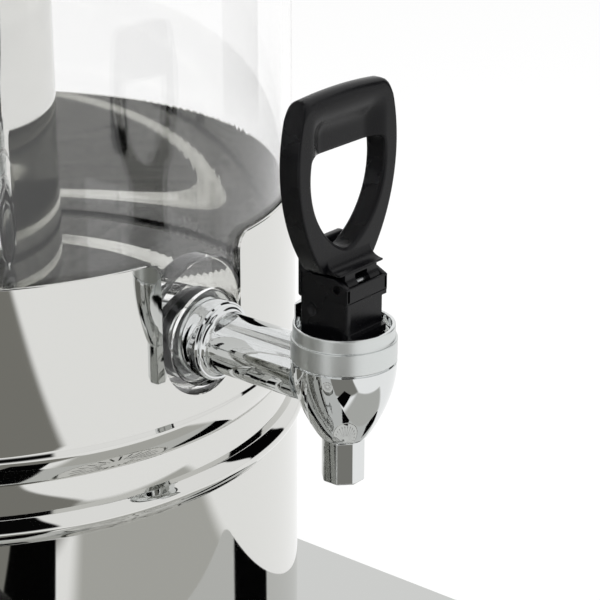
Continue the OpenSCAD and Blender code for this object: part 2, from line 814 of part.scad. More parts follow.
module valve_stem(side) {
    color(STEEL) in_tap(side) difference() {
        translate([0, 0, stem_foot]) cylinder(r = stem_radius, h = stem_top - stem_foot);
        translate([0, 0, hinge_rise]) along_x(-stem_radius - over)
            cylinder(r = stem_pin_radius, h = 2*stem_radius + 2*over);
    }
}

module stem_pin(side) {
    half = foot_half_width - pin_end_gap;
    color(STEEL) in_tap(side) translate([0, 0, hinge_rise]) along_x(-half)
        cylinder(r = stem_pin_radius, h = 2*half);
}

module valve_plug(side) {
    tip = seat_cone_top - seat_cone_height + plug_shift;
    color(SILICONE) in_tap(side) difference() {
        rotate_extrude() polygon([[0, plug_top], [plug_radius, plug_top],
            [plug_radius, tip + (plug_radius - outlet_radius)/plug_slope],
            [outlet_radius, tip], [0, tip]]);
        translate([0, 0, stem_foot]) cylinder(r = stem_radius, h = plug_top - stem_foot + over);
    }
}

// Helical wire swept along the stem
module valve_spring(side) {
    steps = spring_turns*steps_per_turn;
    function wire_point(i, j) = let (
        t = i/steps,
        turn = 360*spring_turns*t,
        around = 360*j/wire_sides,
        r = spring_radius + wire_radius*cos(around))
        [r*cos(turn), r*sin(turn), spring_bottom + (spring_top - spring_bottom)*t + wire_radius*sin(around)];
    points = [for (i = [0:steps], j = [0:wire_sides - 1]) wire_point(i, j)];
    skin = [for (i = [0:steps - 1], j = [0:wire_sides - 1])
        let (a = i*wire_sides + j, b = i*wire_sides + (j + 1)%wire_sides)
        [a, a + wire_sides, b + wire_sides, b]];
    ends = [[for (j = [0:wire_sides - 1]) j], [for (j = [wire_sides - 1:-1:0]) steps*wire_sides + j]];
    color(STEEL) in_tap(side) polyhedron(points, concat(skin, ends));
}

// Lid, ice tube and cap

module lid(side) {
    shoulder = lid_under + lid_sheet;
    cone_top = shoulder + lid_rise;
    color(MIRROR_STEEL) in_unit(side) rotate_extrude() polygon([
        [skirt_inner, lid_under - lid_skirt], [skirt_inner + lid_sheet, lid_under - lid_skirt],
        [skirt_inner + lid_sheet, shoulder], [neck_outer, cone_top], [neck_outer, neck_top],
        [neck_inner, neck_top], [neck_inner, cone_top - lid_sheet],
        [tank_radius - tank_wall, lid_under], [skirt_inner, lid_under]]);
}

module ice_tube(side) {
    inner_corner = ice_corner - lid_sheet;
    foot = [for (i = [0:profile_steps]) let (a = 90*i/profile_steps)
        [ice_radius - ice_corner + ice_corner*sin(a), ice_bottom + ice_corner - ice_corner*cos(a)]];
    inner_foot = [for (i = [profile_steps:-1:0]) let (a = 90*i/profile_steps)
        [ice_radius - ice_corner + inner_corner*sin(a), ice_bottom + ice_corner - inner_corner*cos(a)]];
    color(MIRROR_STEEL) in_unit(side) rotate_extrude() polygon(concat(
        [[0, ice_bottom]], foot,
        [[ice_radius, neck_top], [tube_flange, neck_top], [tube_flange, flange_top],
         [ice_radius, flange_top], [ice_radius, tube_top], [ice_radius - lid_sheet, tube_top]],
        inner_foot, [[0, ice_bottom + lid_sheet]]));
}

module tube_cap(side) {
    color(MIRROR_STEEL) in_unit(side) rotate_extrude() polygon([
        [knob_screw_radius + screw_gap, cap_top - lid_sheet], [cap_flat, cap_top - lid_sheet],
        [cap_plug_radius - plug_wall, tube_top],
        [cap_plug_radius - plug_wall, tube_top - cap_plug], [cap_plug_radius, tube_top - cap_plug],
        [cap_plug_radius, tube_top], [cap_radius, tube_top], [cap_radius, tube_top + lid_sheet],
        [cap_flat, cap_top], [knob_screw_radius + screw_gap, cap_top]]);
}

module cap_knob(side) {
    color(BLACK_PLASTIC) in_unit(side) translate([0, 0, cap_top]) difference() {
        rotate_extrude() polygon(concat(
            [[0, 0], [cap_flat, 0]],
            swell(cap_flat, knob_radius, 0, knob_stem, -knob_waist),
            [for (i = [0:profile_steps]) let (a = 90*i/profile_steps)
                [knob_radius*cos(a), knob_stem + (knob_height - knob_stem)*sin(a)]]));
        translate([0, 0, -over]) cylinder(r = knob_screw_radius, h = knob_stem + over);
    }
}

module knob_screw(side) {
    color(STEEL) in_unit(side) {
        translate([0, 0, cap_top - lid_sheet - screw_head_height])
            cylinder(r = knob_screw_radius*screw_head_ratio, h = screw_head_height);
        translate([0, 0, cap_top - lid_sheet - eps])
            cylinder(r = knob_screw_radius - press_gap, h = lid_sheet + knob_stem - screw_end_gap);
    }
}

// Drip tray

module in_tray(side) in_unit(side) translate([0, tray_y, 0]) children();

module drip_tray(side) {
    basin = tray_radius - tray_ledge;
    ledge_top = grate_z - plate_top;
    color(MIRROR_STEEL) in_tray(side) translate([0, 0, plate_top]) rotate_extrude() polygon([
        [0, 0], [basin, 0], [basin, ledge_top - tray_sheet], [tray_radius, ledge_top - tray_sheet],
        [tray_radius, tray_height], [tray_radius - tray_sheet, tray_height],
        [tray_radius - tray_sheet, ledge_top], [basin - tray_sheet, ledge_top],
        [basin - tray_sheet, tray_sheet], [0, tray_sheet]]);
}

module drip_grate(side) {
    color(MIRROR_STEEL) in_tray(side) translate([0, 0, grate_z]) difference() {
        cylinder(r = grate_radius, h = tray_sheet);
        for (i = [0:slot_count - 1]) rotate(i*360/slot_count)
            translate([slot_inner + slot_length/2, 0, -over])
                rounded_plate(slot_length, slot_width, slot_width/2 - eps, tray_sheet + 2*over);
    }
}

base_plate();
foot_bosses();
rubber_feet();
foot_screws();
pedestal_screws();
pedestal_nuts();
pedestal(LEFT);  // left_pedestal
collar(LEFT);  // left_collar
tank_seat(LEFT);  // left_tank_seat
tank(LEFT);  // left_tank
tap_body(LEFT);  // left_tap_body
tap_nozzle(LEFT);  // left_tap_nozzle
tap_outer_washer(LEFT);  // left_tap_outer_washer
tap_inner_washer(LEFT);  // left_tap_inner_washer
tap_nut(LEFT);  // left_tap_nut
bonnet(LEFT);  // left_bonnet
hinge_pin(LEFT);  // left_hinge_pin
lever_handle(LEFT);  // left_lever_handle
valve_stem(LEFT);  // left_valve_stem
stem_pin(LEFT);  // left_stem_pin
valve_plug(LEFT);  // left_valve_plug
valve_spring(LEFT);  // left_valve_spring
lid(LEFT);  // left_lid
ice_tube(LEFT);  // left_ice_tube
tube_cap(LEFT);  // left_tube_cap
cap_knob(LEFT);  // left_cap_knob
knob_screw(LEFT);  // left_knob_screw
drip_tray(LEFT);  // left_drip_tray
drip_grate(LEFT);  // left_drip_grate
pedestal(RIGHT);  // right_pedestal
collar(RIGHT);  // right_collar
tank_seat(RIGHT);  // right_tank_seat
tank(RIGHT);  // right_tank
tap_body(RIGHT);  // right_tap_body
tap_nozzle(RIGHT);  // right_tap_nozzle
tap_outer_washer(RIGHT);  // right_tap_outer_washer
tap_inner_washer(RIGHT);  // right_tap_inner_washer
tap_nut(RIGHT);  // right_tap_nut
bonnet(RIGHT);  // right_bonnet
hinge_pin(RIGHT);  // right_hinge_pin
lever_handle(RIGHT);  // right_lever_handle
valve_stem(RIGHT);  // right_valve_stem
stem_pin(RIGHT);  // right_stem_pin
valve_plug(RIGHT);  // right_valve_plug
valve_spring(RIGHT);  // right_valve_spring
lid(RIGHT);  // right_lid
ice_tube(RIGHT);  // right_ice_tube
tube_cap(RIGHT);  // right_tube_cap
cap_knob(RIGHT);  // right_cap_knob
knob_screw(RIGHT);  // right_knob_screw
drip_tray(RIGHT);  // right_drip_tray
drip_grate(RIGHT);  // right_drip_grate
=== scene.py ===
import math
import bpy
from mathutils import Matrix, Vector


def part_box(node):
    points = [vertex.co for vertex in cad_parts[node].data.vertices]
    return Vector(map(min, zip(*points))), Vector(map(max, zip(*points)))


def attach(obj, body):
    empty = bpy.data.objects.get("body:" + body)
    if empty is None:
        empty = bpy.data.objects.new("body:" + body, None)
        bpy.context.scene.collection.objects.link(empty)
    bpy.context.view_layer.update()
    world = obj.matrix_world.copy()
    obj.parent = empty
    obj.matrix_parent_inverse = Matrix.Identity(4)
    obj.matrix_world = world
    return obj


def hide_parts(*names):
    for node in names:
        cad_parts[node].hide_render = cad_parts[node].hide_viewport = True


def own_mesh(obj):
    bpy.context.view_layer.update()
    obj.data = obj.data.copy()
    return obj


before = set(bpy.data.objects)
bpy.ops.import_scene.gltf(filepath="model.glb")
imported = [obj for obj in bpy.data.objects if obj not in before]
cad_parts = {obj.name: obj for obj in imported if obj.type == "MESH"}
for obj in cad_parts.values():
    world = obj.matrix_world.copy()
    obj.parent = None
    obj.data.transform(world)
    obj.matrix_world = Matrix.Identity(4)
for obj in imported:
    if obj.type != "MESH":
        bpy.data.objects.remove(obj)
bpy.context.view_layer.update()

bl_info = {
    "name": "Double Juice Dispenser",
    "version": (1, 0, 0),
    "blender": (4, 5, 0),
    "location": "View3D > Sidebar > Dispenser",
    "description": "Dresses the CAD frame of a double juice dispenser with finished pieces and a studio",
    "category": "Object",
}

MM = 0.001
SIDES = ("right", "left")


def middle(node):
    """Centre of a CAD node's box."""
    low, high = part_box(node)
    return (low + high)/2


def low_z(node):
    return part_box(node)[0].z


def high_z(node):
    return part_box(node)[1].z


def half_width(node):
    low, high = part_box(node)
    return (high.x - low.x)/2


def extent(node):
    """Bottom, top and half width of a CAD node."""
    return low_z(node), high_z(node), half_width(node)


# Places that the pieces share, read from the frame for the right-hand unit
TANK_AXIS = middle("right_tank_seat")
LEFT_SHIFT = middle("left_tank_seat").x - TANK_AXIS.x
TAP_AXIS = middle("right_tap_nozzle")
TAP_Z = middle("right_tap_outer_washer").z
HINGE = middle("right_hinge_pin")
PLATE_TOP = low_z("right_pedestal")
LEDGE = low_z("right_collar")
RIM = high_z("right_collar")
BARREL_RIM = TAP_Z + 17.7*MM
BOWL_BOTTOM = TAP_Z - 16.8*MM

# Sizes that two kinds of piece share
PEDESTAL_FLANGE = 20*MM
SHANK_BORE = 8.6*MM


def length(name, description, size_mm):
    return bpy.props.FloatProperty(name=name, description=description, default=size_mm*MM, unit="LENGTH")


def hex_colour(name, description, value):
    return bpy.props.StringProperty(name=name, description=description, default=value)


class DispenserSizes(bpy.types.PropertyGroup):
    """Sizes that shape the finished pieces."""

    pedestal_radius: length("Pedestal radius", "Outer radius of a pedestal wall", 107.3)
    bead_height: length("Bead height", "Height of the roll bead on a pedestal", 8.1)
    bead_bulge: length("Bead bulge", "How far the roll bead stands out", 2.4)
    collar_radius: length("Collar radius", "Outer radius of a collar sleeve", 106.8)
    collar_sheet: length("Collar sheet", "Sheet thickness of a collar", 0.9)
    band_height: length("Band height", "Height of the band under the flare", 9.7)
    flare_height: length("Flare height", "Height of the flared bead", 10)
    flare_bulge: length("Flare bulge", "How far the flared bead stands out", 0.5)
    pad_radius: length("Pad radius", "Radius of the clear tap boss", 20.3)
    tank_wall: length("Tank wall", "Wall thickness of a tank", 3)
    barrel_radius: length("Barrel radius", "Outer radius of a tap barrel", 15)
    loop_thickness: length("Loop thickness", "Thickness of a lever loop", 7)
    scoop_depth: length("Scoop depth", "Depth of the finger scoop in a lever", 2.6)


class DispenserColours(bpy.types.PropertyGroup):
    """Colours of the finishes, as sRGB hex values."""

    steel: hex_colour("Mirror steel", "Mirror polished stainless steel", "D6D6D3")
    base: hex_colour("Base steel", "Polished stainless steel of the base", "C9CAC8")
    chrome: hex_colour("Chrome", "Chrome plate of the taps", "DADCDC")
    band: hex_colour("Barrel band", "Satin band of the taps", "D2D5D4")
    black: hex_colour("Black nylon", "Moulded black nylon", "08080A")
    clear: hex_colour("Clear plastic", "Clear polycarbonate", "FFFFFF")
    silicone: hex_colour("Silicone", "Clear silicone washers", "EEF0EF")
    rubber: hex_colour("Rubber", "Black rubber feet", "1B1B1B")
    floor: hex_colour("Floor", "Pale studio floor", "F6F6F5")


def sizes():
    return bpy.context.scene.dispenser_sizes


def colours():
    return bpy.context.scene.dispenser_colours


# Materials

def linear(hex_value, alpha=1.0):
    """An sRGB hex value as linear RGBA."""
    parts = [int(hex_value[i:i + 2], 16)/255 for i in (0, 2, 4)]
    return [p/12.92 if p <= 0.04045 else ((p + 0.055)/1.055)**2.4 for p in parts] + [alpha]


def add_node(tree, kind, inputs=(), **settings):
    """Adds a node, sets its properties, and fills or links its inputs."""
    node = tree.nodes.new(kind)
    for name, value in settings.items():
        setattr(node, name, value)
    for socket, value in dict(inputs).items():
        if isinstance(value, bpy.types.NodeSocket):
            tree.links.new(value, node.inputs[socket])
        else:
            node.inputs[socket].default_value = value
    return node


def new_material(name):
    """An empty node material with its output."""
    material = bpy.data.materials.new(name)
    material.use_nodes = True
    material.node_tree.nodes.clear()
    return material, material.node_tree


def finish_material(tree, shader):
    add_node(tree, "ShaderNodeOutputMaterial", {"Surface": shader})


def calculated(tree, operation, *values):
    """Result of a math node."""
    return add_node(tree, "ShaderNodeMath", dict(enumerate(values)), operation=operation).outputs["Value"]


def mixed(tree, share, first, second):
    """Two shaders mixed, with this share of the second."""
    return add_node(tree, "ShaderNodeMixShader", {0: share, 1: first, 2: second}).outputs["Shader"]


def glowing(tree, colour):
    return add_node(tree, "ShaderNodeEmission", {"Color": colour, "Strength": 1.0}).outputs["Emission"]


def noise(tree, place, size_mm, detail, roughness=0.5):
    """A cloudy pattern whose features have this size."""
    return add_node(tree, "ShaderNodeTexNoise", {
        "Vector": place, "Scale": 1/(size_mm*MM), "Detail": detail, "Roughness": roughness}).outputs["Fac"]


METAL = {"Metallic": 1.0}


def finished(name, colour, gloss, relief, inputs, stretch=None):
    """A material with one pattern in its gloss and another in its relief.

    gloss holds the values of its pattern, then the least and the most roughness.
    relief holds the feature size in mm and the detail of its pattern, then the bump's strength and height.
    """
    material, tree = new_material(name)
    place = add_node(tree, "ShaderNodeTexCoord").outputs["Object"]
    if stretch:
        place = add_node(tree, "ShaderNodeMapping", {"Vector": place, "Scale": stretch}).outputs["Vector"]
    *cloud, low, high = gloss
    rough = add_node(tree, "ShaderNodeMapRange", {
        "Value": noise(tree, place, *cloud), "To Min": low, "To Max": high}).outputs["Result"]
    values = {"Base Color": linear(colour), "Roughness": rough, **inputs}
    if relief:
        size_mm, detail, strength, height = relief
        values["Normal"] = add_node(tree, "ShaderNodeBump", {
            "Height": noise(tree, place, size_mm, detail), "Strength": strength,
            "Distance": height}).outputs["Normal"]
    finish_material(tree, add_node(tree, "ShaderNodeBsdfPrincipled", values).outputs["BSDF"])
    return material


def polished_metal(name, colour, rough_low, rough_high, wave_mm, wave_height):
    """Metal with a faint polish cloud in its gloss and the slow waviness of drawn sheet."""
    cloud = (18, 4.0, 0.6, rough_low, rough_high)
    return finished(name, colour, cloud, (wave_mm, 0.0, 1.0, wave_height), METAL)


def mirror_steel():
    # Mirror polished 18/10 sheet: sharp reflections, slightly warm grey, a little uneven where it was drawn
    return polished_metal("Mirror polished stainless steel", colours().steel, 0.015, 0.05, 70, 0.10*MM)


def seat_steel_with_painted_light():
    # Pressed pan under a tank: a softer polish, and the steel's colour painted lighter (F1F1ED) than the
    # mirror steel, as painted light for the light coming through the plastic
    return polished_metal("Pressed steel with painted light", "F1F1ED", 0.10, 0.18, 70, 0.10*MM)


def chrome_plate():
    # Bright chrome over a cast body: the sharpest and coolest reflections on the object
    return polished_metal("Chrome plate", colours().chrome, 0.01, 0.035, 40, 0.03*MM)


def satin_chrome():
    # Turned satin band of the barrel: the streaks run round it, so reflections smear sideways
    return finished("Satin chrome band", colours().band, (14, 2.0, 0.28, 0.36), (14, 2.0, 0.2, 0.01*MM),
                    METAL, stretch=(1, 1, 40))


def polished_sheet():
    # Polished base sheet: fine grain lines along its length that soften what it reflects a little
    # Real grain is about 0.05 mm wide, drawn coarser so that it shows
    return finished("Polished stainless steel sheet", colours().base, (22, 3.0, 0.03, 0.07),
                    (22, 3.0, 0.12, 0.01*MM), METAL, stretch=(1, 45, 45))


def turned_steel():
    # Plain machined steel of screws and pins: fine turning marks and a duller gloss
    return finished("Turned steel", "A6A8A9", (0.8, 2.0, 0.2, 0.36), (0.8, 2.0, 0.2, 0.02*MM), METAL)


def clear_plastic():
    # Moulded clear polycarbonate: almost colourless, with a trace of haze and moulding ripple in its skin
    return finished("Clear polycarbonate", colours().clear, (12, 3.0, 0.0, 0.02), (45, 1.0, 0.6, 0.05*MM),
                    {"Transmission Weight": 1.0, "IOR": 1.49})


def silicone():
    # Clear silicone washer: a trace of milk in it, with a waxy gloss
    return finished("Translucent silicone", colours().silicone, (3, 2.0, 0.05, 0.14), None,
                    {"Transmission Weight": 0.95, "IOR": 1.41})


def black_nylon():
    # Glass filled black nylon, moulded with a fine spark texture that breaks up its satin highlights
    # Spark texture is about 0.1 mm, drawn at 0.5 mm so that it shows
    return finished("Moulded black nylon", colours().black, (9, 3.0, 0.22, 0.32), (0.5, 2.0, 0.22, 0.03*MM),
                    {"IOR": 1.45, "Specular IOR Level": 0.22})


def black_rubber():
    # Moulded rubber: dull, with a dusty bloom
    return finished("Black rubber", colours().rubber, (2, 4.0, 0.6, 0.85), (2, 4.0, 0.3, 0.05*MM), {})


MAKERS = {
    "mirror_steel": mirror_steel, "base_steel": polished_sheet, "chrome": chrome_plate,
    "satin_band": satin_chrome, "clear_plastic": clear_plastic, "black_plastic": black_nylon,
    "plain_steel": turned_steel, "silicone": silicone, "rubber": black_rubber,
}
made_materials = {}


def material_for(slot):
    """The material of a record slot, made once."""
    if slot not in made_materials:
        made_materials[slot] = MAKERS[slot]()
    return made_materials[slot]


# Outlines

def swell(r0, r1, z0, z1, bulge, steps=24):
    """Points of a profile that swells between two radii."""
    return [(r0 + (r1 - r0)*i/steps + bulge*math.sin(math.pi*i/steps), z0 + (z1 - z0)*i/steps)
            for i in range(steps + 1)]


def flare(r0, r1, z0, z1, lip, steps=24):
    """An undercut that curves in to the groove below, under a small lip where the wall above runs out."""
    turn = z1 - 0.24*(z1 - z0)
    height, width = turn - z0, r1 + lip - r0
    bend = 2*math.atan(width/height)
    radius = height/math.sin(bend)
    points = [(r1 + lip - radius*(1 - math.cos(a)), turn - radius*math.sin(a))
              for a in (bend*(1 - i/steps) for i in range(steps + 1))]
    return points + [(r1 + lip*math.cos(math.pi*i/16)**2, turn + (z1 - turn)*i/8) for i in range(1, 9)]


def arc(centre, radius, start, end, steps=10):
    """Points on an arc in the outline's plane, angles in degrees."""
    return [(centre[0] + radius*math.cos(math.radians(start + (end - start)*i/steps)),
             centre[1] + radius*math.sin(math.radians(start + (end - start)*i/steps)))
            for i in range(steps + 1)]


def quarter(steps):
    """Angles of a quarter turn."""
    return [math.radians(90*i/steps) for i in range(steps + 1)]


def softened(points, radius, closed=True, steps=4):
    """The outline with its corners rounded, and with a support point on each side of a rounding."""
    made = []
    count = len(points)
    for i, corner in enumerate(points):
        here = Vector(corner)
        if not closed and i in (0, count - 1):
            made.append(tuple(here))
            continue
        before = Vector(points[i - 1]) - here
        after = Vector(points[(i + 1) % count]) - here
        turn = math.pi - before.angle(after)
        reach = min(radius*math.tan(turn/2), before.length*0.4, after.length*0.4)
        if turn < math.radians(18):
            made.append(tuple(here))
            continue
        start = here + before.normalized()*reach
        end = here + after.normalized()*reach
        if before.length > reach*4:
            made.append(tuple(here + before.normalized()*reach*1.3))
        for k in range(steps + 1):
            t = k/steps
            made.append(tuple(start*(1 - t)**2 + here*2*t*(1 - t) + end*t*t))
        if after.length > reach*4:
            made.append(tuple(here + after.normalized()*reach*1.3))
    return made


# Modelling tools

def deselect():
    if bpy.context.mode != "OBJECT":
        bpy.ops.object.mode_set(mode="OBJECT")
    bpy.ops.object.select_all(action="DESELECT")


def choose(*pieces):
    """Selects these objects alone, the last one active."""
    deselect()
    for piece in pieces:
        piece.select_set(True)
    bpy.context.view_layer.objects.active = pieces[-1]


def name_piece(piece, name):
    piece.name = name
    piece.data.name = name
    return piece


def settle():
    """Puts the active object's place into its mesh."""
    bpy.ops.object.transform_apply(location=True, rotation=True, scale=True)


def drawn(points):
    """A mesh object that holds a chain of edges through these points."""
    deselect()
    pen = 0.1*MM
    bpy.ops.mesh.primitive_plane_add(size=pen, location=points[0])
    settle()
    piece = bpy.context.object
    bpy.ops.object.mode_set(mode="EDIT")
    bpy.ops.mesh.select_mode(type="VERT")
    bpy.ops.mesh.select_all(action="SELECT")
    bpy.ops.mesh.merge(type="CENTER")
    here = Vector(points[0])
    for point in points[1:]:
        step = Vector(point) - here
        bpy.ops.mesh.extrude_region_move(TRANSFORM_OT_translate={"value": step})
        here = Vector(point)
    return piece


def edit_all():
    """Opens the active mesh with everything selected."""
    bpy.ops.object.mode_set(mode="EDIT")
    bpy.ops.mesh.select_all(action="SELECT")


def tidy_mesh(angle=30):
    """Merges doubles, turns faces outwards and shades by angle."""
    bpy.ops.mesh.select_all(action="SELECT")
    bpy.ops.mesh.remove_doubles(threshold=0.002*MM)
    bpy.ops.mesh.normals_make_consistent(inside=False)
    bpy.ops.object.mode_set(mode="OBJECT")
    bpy.ops.object.shade_smooth_by_angle(angle=math.radians(angle))


def turned(outline, centre, axis="Z", steps=192, closed=True, angle=30):
    """A piece turned on an upright or front-to-back axis. The outline is (radius, place along the axis)."""
    points = list(outline) + ([outline[0]] if closed else [])
    if axis == "Z":
        chain = [(centre.x + r, centre.y, h) for r, h in points]
        spin_axis = (0, 0, 1)
    else:
        chain = [(centre.x + r, h, centre.z) for r, h in points]
        spin_axis = (0, 1, 0)
    piece = drawn(chain)
    bpy.ops.mesh.select_all(action="SELECT")
    bpy.ops.mesh.spin(steps=steps, angle=math.tau, center=centre, axis=spin_axis)
    tidy_mesh(angle)
    return piece


def block(low, high, bevel=0.4*MM, segments=3):
    """A box with rounded edges between two corners."""
    deselect()
    low, high = Vector(low), Vector(high)
    bpy.ops.mesh.primitive_cube_add(size=1, location=(low + high)/2)
    piece = bpy.context.object
    piece.scale = high - low
    settle()
    edit_all()
    bpy.ops.mesh.bevel(offset=bevel, segments=segments, affect="EDGES")
    tidy_mesh(35)
    return piece


def joined(name, *pieces):
    choose(*pieces)
    if len(pieces) > 1:
        bpy.ops.object.join()
    return name_piece(bpy.context.object, name)


def apply_modifiers(piece):
    choose(piece)
    for modifier in list(piece.modifiers):
        bpy.ops.object.modifier_apply(modifier=modifier.name)


def soften_edges(piece, width):
    """Rounds the sharp edges of a piece."""
    soft = piece.modifiers.new("soft edges", "BEVEL")
    soft.width = width
    soft.segments = 3
    soft.limit_method = "ANGLE"
    apply_modifiers(piece)
    bpy.ops.object.shade_smooth_by_angle(angle=math.radians(30))
    return piece


def cut(piece, *cutters, operation="DIFFERENCE", angle=30):
    """Cuts pieces out of another, or adds them to it, and deletes them."""
    for cutter in cutters:
        modifier = piece.modifiers.new("cut", "BOOLEAN")
        modifier.operation = operation
        modifier.object = cutter
        modifier.solver = "EXACT"
        apply_modifiers(piece)
        bpy.data.objects.remove(cutter)
    choose(piece)
    bpy.ops.object.shade_smooth_by_angle(angle=math.radians(angle))
    return piece


def extruded(points, along, angle=30):
    """A solid from a closed flat outline, extruded by a vector."""
    piece = drawn(list(points) + [points[0]])
    bpy.ops.mesh.select_all(action="SELECT")
    bpy.ops.mesh.remove_doubles(threshold=0.002*MM)
    bpy.ops.mesh.edge_face_add()
    bpy.ops.mesh.extrude_region_move(TRANSFORM_OT_translate={"value": along})
    tidy_mesh(angle)
    return piece


def copied(piece, name):
    """A copy with its own mesh, left active."""
    choose(piece)
    bpy.ops.object.duplicate(linked=False)
    return name_piece(bpy.context.object, name)


def shifted_copy(piece, name, shift):
    twin = copied(piece, name)
    twin.location = shift
    settle()
    return twin


def dress(piece, body, slot, *nodes):
    """Gives a piece its finish and its body, and hides the CAD nodes that it stands for."""
    if not piece.data.materials:
        piece.data.materials.append(material_for(slot))
    # Long walls mirror straight: their small rounded edges don't bend the shading of the whole face
    weigh = piece.modifiers.new("straight walls", "WEIGHTED_NORMAL")
    weigh.keep_sharp = True
    apply_modifiers(piece)
    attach(piece, body)
    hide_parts(*nodes)


def mirrored_copy(piece, name):
    """A copy on the other side of the row, turned right way out."""
    twin = copied(piece, name)
    twin.scale.x = -1
    settle()
    edit_all()
    bpy.ops.mesh.normals_make_consistent(inside=False)
    bpy.ops.object.mode_set(mode="OBJECT")
    return twin


def dress_both(piece, node, body, slot, mirror=False):
    """Dresses the right-hand piece and its copy on the left-hand unit."""
    name_piece(piece, "right_" + node + "_finish")
    if mirror:
        twin = mirrored_copy(piece, "left_" + node + "_finish")
    else:
        twin = shifted_copy(piece, "left_" + node + "_finish", (LEFT_SHIFT, 0, 0))
    for side, made in zip(SIDES, (piece, twin)):
        dress(made, body if body == "base" else side + "_" + body, slot, side + "_" + node)


class Build:
    """What every building operator shares."""

    bl_options = {"REGISTER", "UNDO"}

    def execute(self, context):
        self.build()
        return {"FINISHED"}


# Base, feet and pedestals

class DISPENSER_OT_base(Build, bpy.types.Operator):
    """Builds the folded base sheet with rounded corners and a soft top edge"""

    bl_idname = "dispenser.base"
    bl_label = "Base"

    def build(self):
        low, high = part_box("base_plate")
        sheet, corner = 1.2*MM, 14*MM
        piece = self.slab(low, high, corner, 0)
        cut(piece, self.slab(low, high, corner, sheet))
        soften_edges(piece, 0.5*MM)
        dress(name_piece(piece, "base_sheet"), "base", "base_steel", "base_plate")

    def slab(self, low, high, corner, inset):
        """A slab with round corners that fills the base, or the hollow under its sheet."""
        reach_x, reach_y = high.x - corner, high.y - corner
        outline = []
        for x, y, start in ((1, 1, 0), (-1, 1, 90), (-1, -1, 180), (1, -1, 270)):
            outline += arc((x*reach_x, y*reach_y), corner - inset, start, start + 90, 12)
        bottom = low.z - (2*MM if inset else 0)
        return extruded([(x, y, bottom) for x, y in outline], (0, 0, high.z - inset - bottom))


class DISPENSER_OT_feet(Build, bpy.types.Operator):
    """Builds the rubber feet, one shape copied to every place"""

    bl_idname = "dispenser.feet"
    bl_label = "Feet"

    def build(self):
        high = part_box("rubber_feet")[1]
        top, wide, narrow, bore = high.z, 13*MM, 11*MM, 5.15*MM
        head_depth, shaft = 8*MM, 2.6*MM
        first = Vector((high.x - wide, high.y - wide, 0))
        outline = softened([
            (bore, 0), (narrow, 0), (wide, top), (shaft, top), (shaft, head_depth),
            (bore, head_depth)], 1.2*MM)
        foot = turned(outline, first, steps=64)
        columns = (0, -first.x, -2*first.x)
        rows = (0, -2*first.y)
        copies = [shifted_copy(foot, "foot", (x, y, 0)) for x in columns for y in rows if (x, y) != (0, 0)]
        dress(joined("rubber_foot_set", *copies, foot), "base", "rubber", "rubber_feet")


class DISPENSER_OT_pedestals(Build, bpy.types.Operator):
    """Turns the pedestals with their roll beads"""

    bl_idname = "dispenser.pedestals"
    bl_label = "Pedestals"

    def build(self):
        size = sizes()
        radius, sheet, flange = size.pedestal_radius, 1*MM, PEDESTAL_FLANGE
        outer = [(radius, PLATE_TOP), (radius, PLATE_TOP + 1*MM), (radius, LEDGE - size.bead_height - 1*MM)]
        outer += swell(radius, radius, LEDGE - size.bead_height, LEDGE, size.bead_bulge)
        inner = [(r - sheet, z) for r, z in reversed(swell(
            radius, radius, LEDGE - size.bead_height, LEDGE - sheet, size.bead_bulge))]
        outline = outer + [(radius - flange, LEDGE), (radius - flange, LEDGE - sheet)] + inner + [
            (radius - sheet, PLATE_TOP + sheet), (radius - flange, PLATE_TOP + sheet),
            (radius - flange, PLATE_TOP)]
        piece = turned(softened(outline, 0.4*MM), TANK_AXIS, steps=256)
        dress_both(piece, "pedestal", "base", "mirror_steel")


class DISPENSER_OT_collars(Build, bpy.types.Operator):
    """Turns the collars and cuts the notch for the tap"""

    bl_idname = "dispenser.collars"
    bl_label = "Collars"

    def build(self):
        size = sizes()
        radius, sheet = size.collar_radius, size.collar_sheet
        groove, foot = radius - 1.3*MM, radius - 0.8*MM
        band_top = LEDGE + size.band_height
        flare_top = band_top + size.flare_height
        outer = swell(foot, groove, LEDGE, band_top, 0.15*MM)
        outer += flare(groove, radius, band_top, flare_top, size.flare_bulge)[1:]
        outer += [(radius, flare_top + 1*MM)]
        outer += arc((radius - sheet/2, RIM - sheet/2), sheet/2, 0, 180, 8)
        inner = swell(foot, groove, LEDGE + sheet, band_top, 0.15*MM)
        inner += flare(groove, radius, band_top, flare_top, size.flare_bulge)[1:]
        outline = outer + [(r - sheet, z) for r, z in reversed(inner)]
        flange = size.pedestal_radius - PEDESTAL_FLANGE
        outline += [(flange, LEDGE + sheet), (flange, LEDGE)]
        piece = turned(outline, TANK_AXIS, steps=288)
        cut(piece, self.notch(size))
        dress_both(piece, "collar", "base", "mirror_steel", mirror=True)

    def notch(self, size):
        """The U shaped cutter: round below, straight sided, flaring with round corners at the rim."""
        half, corner, above = 16.6*MM, 5.5*MM, 6*MM
        # The tank sits turned a little in its notch, so the notch lies towards the middle of the row
        shift = 2.9*MM
        right = arc((half + corner, RIM - corner), corner, 180, 90, 10)
        side = [(half, TAP_Z)] + right + [(half + corner, RIM + above)]
        left = [(-x, z) for x, z in reversed(side)]
        bottom = arc((0, TAP_Z), half, 180, 360, 48)[1:-1]
        # From well outside the collar's wall to well inside it
        reach = size.collar_radius*1.3
        front, back = TANK_AXIS.y - reach, TANK_AXIS.y - reach/2
        points = [(TANK_AXIS.x - shift + x, front, z) for x, z in left + bottom + side]
        return extruded(points, (0, back - front, 0))


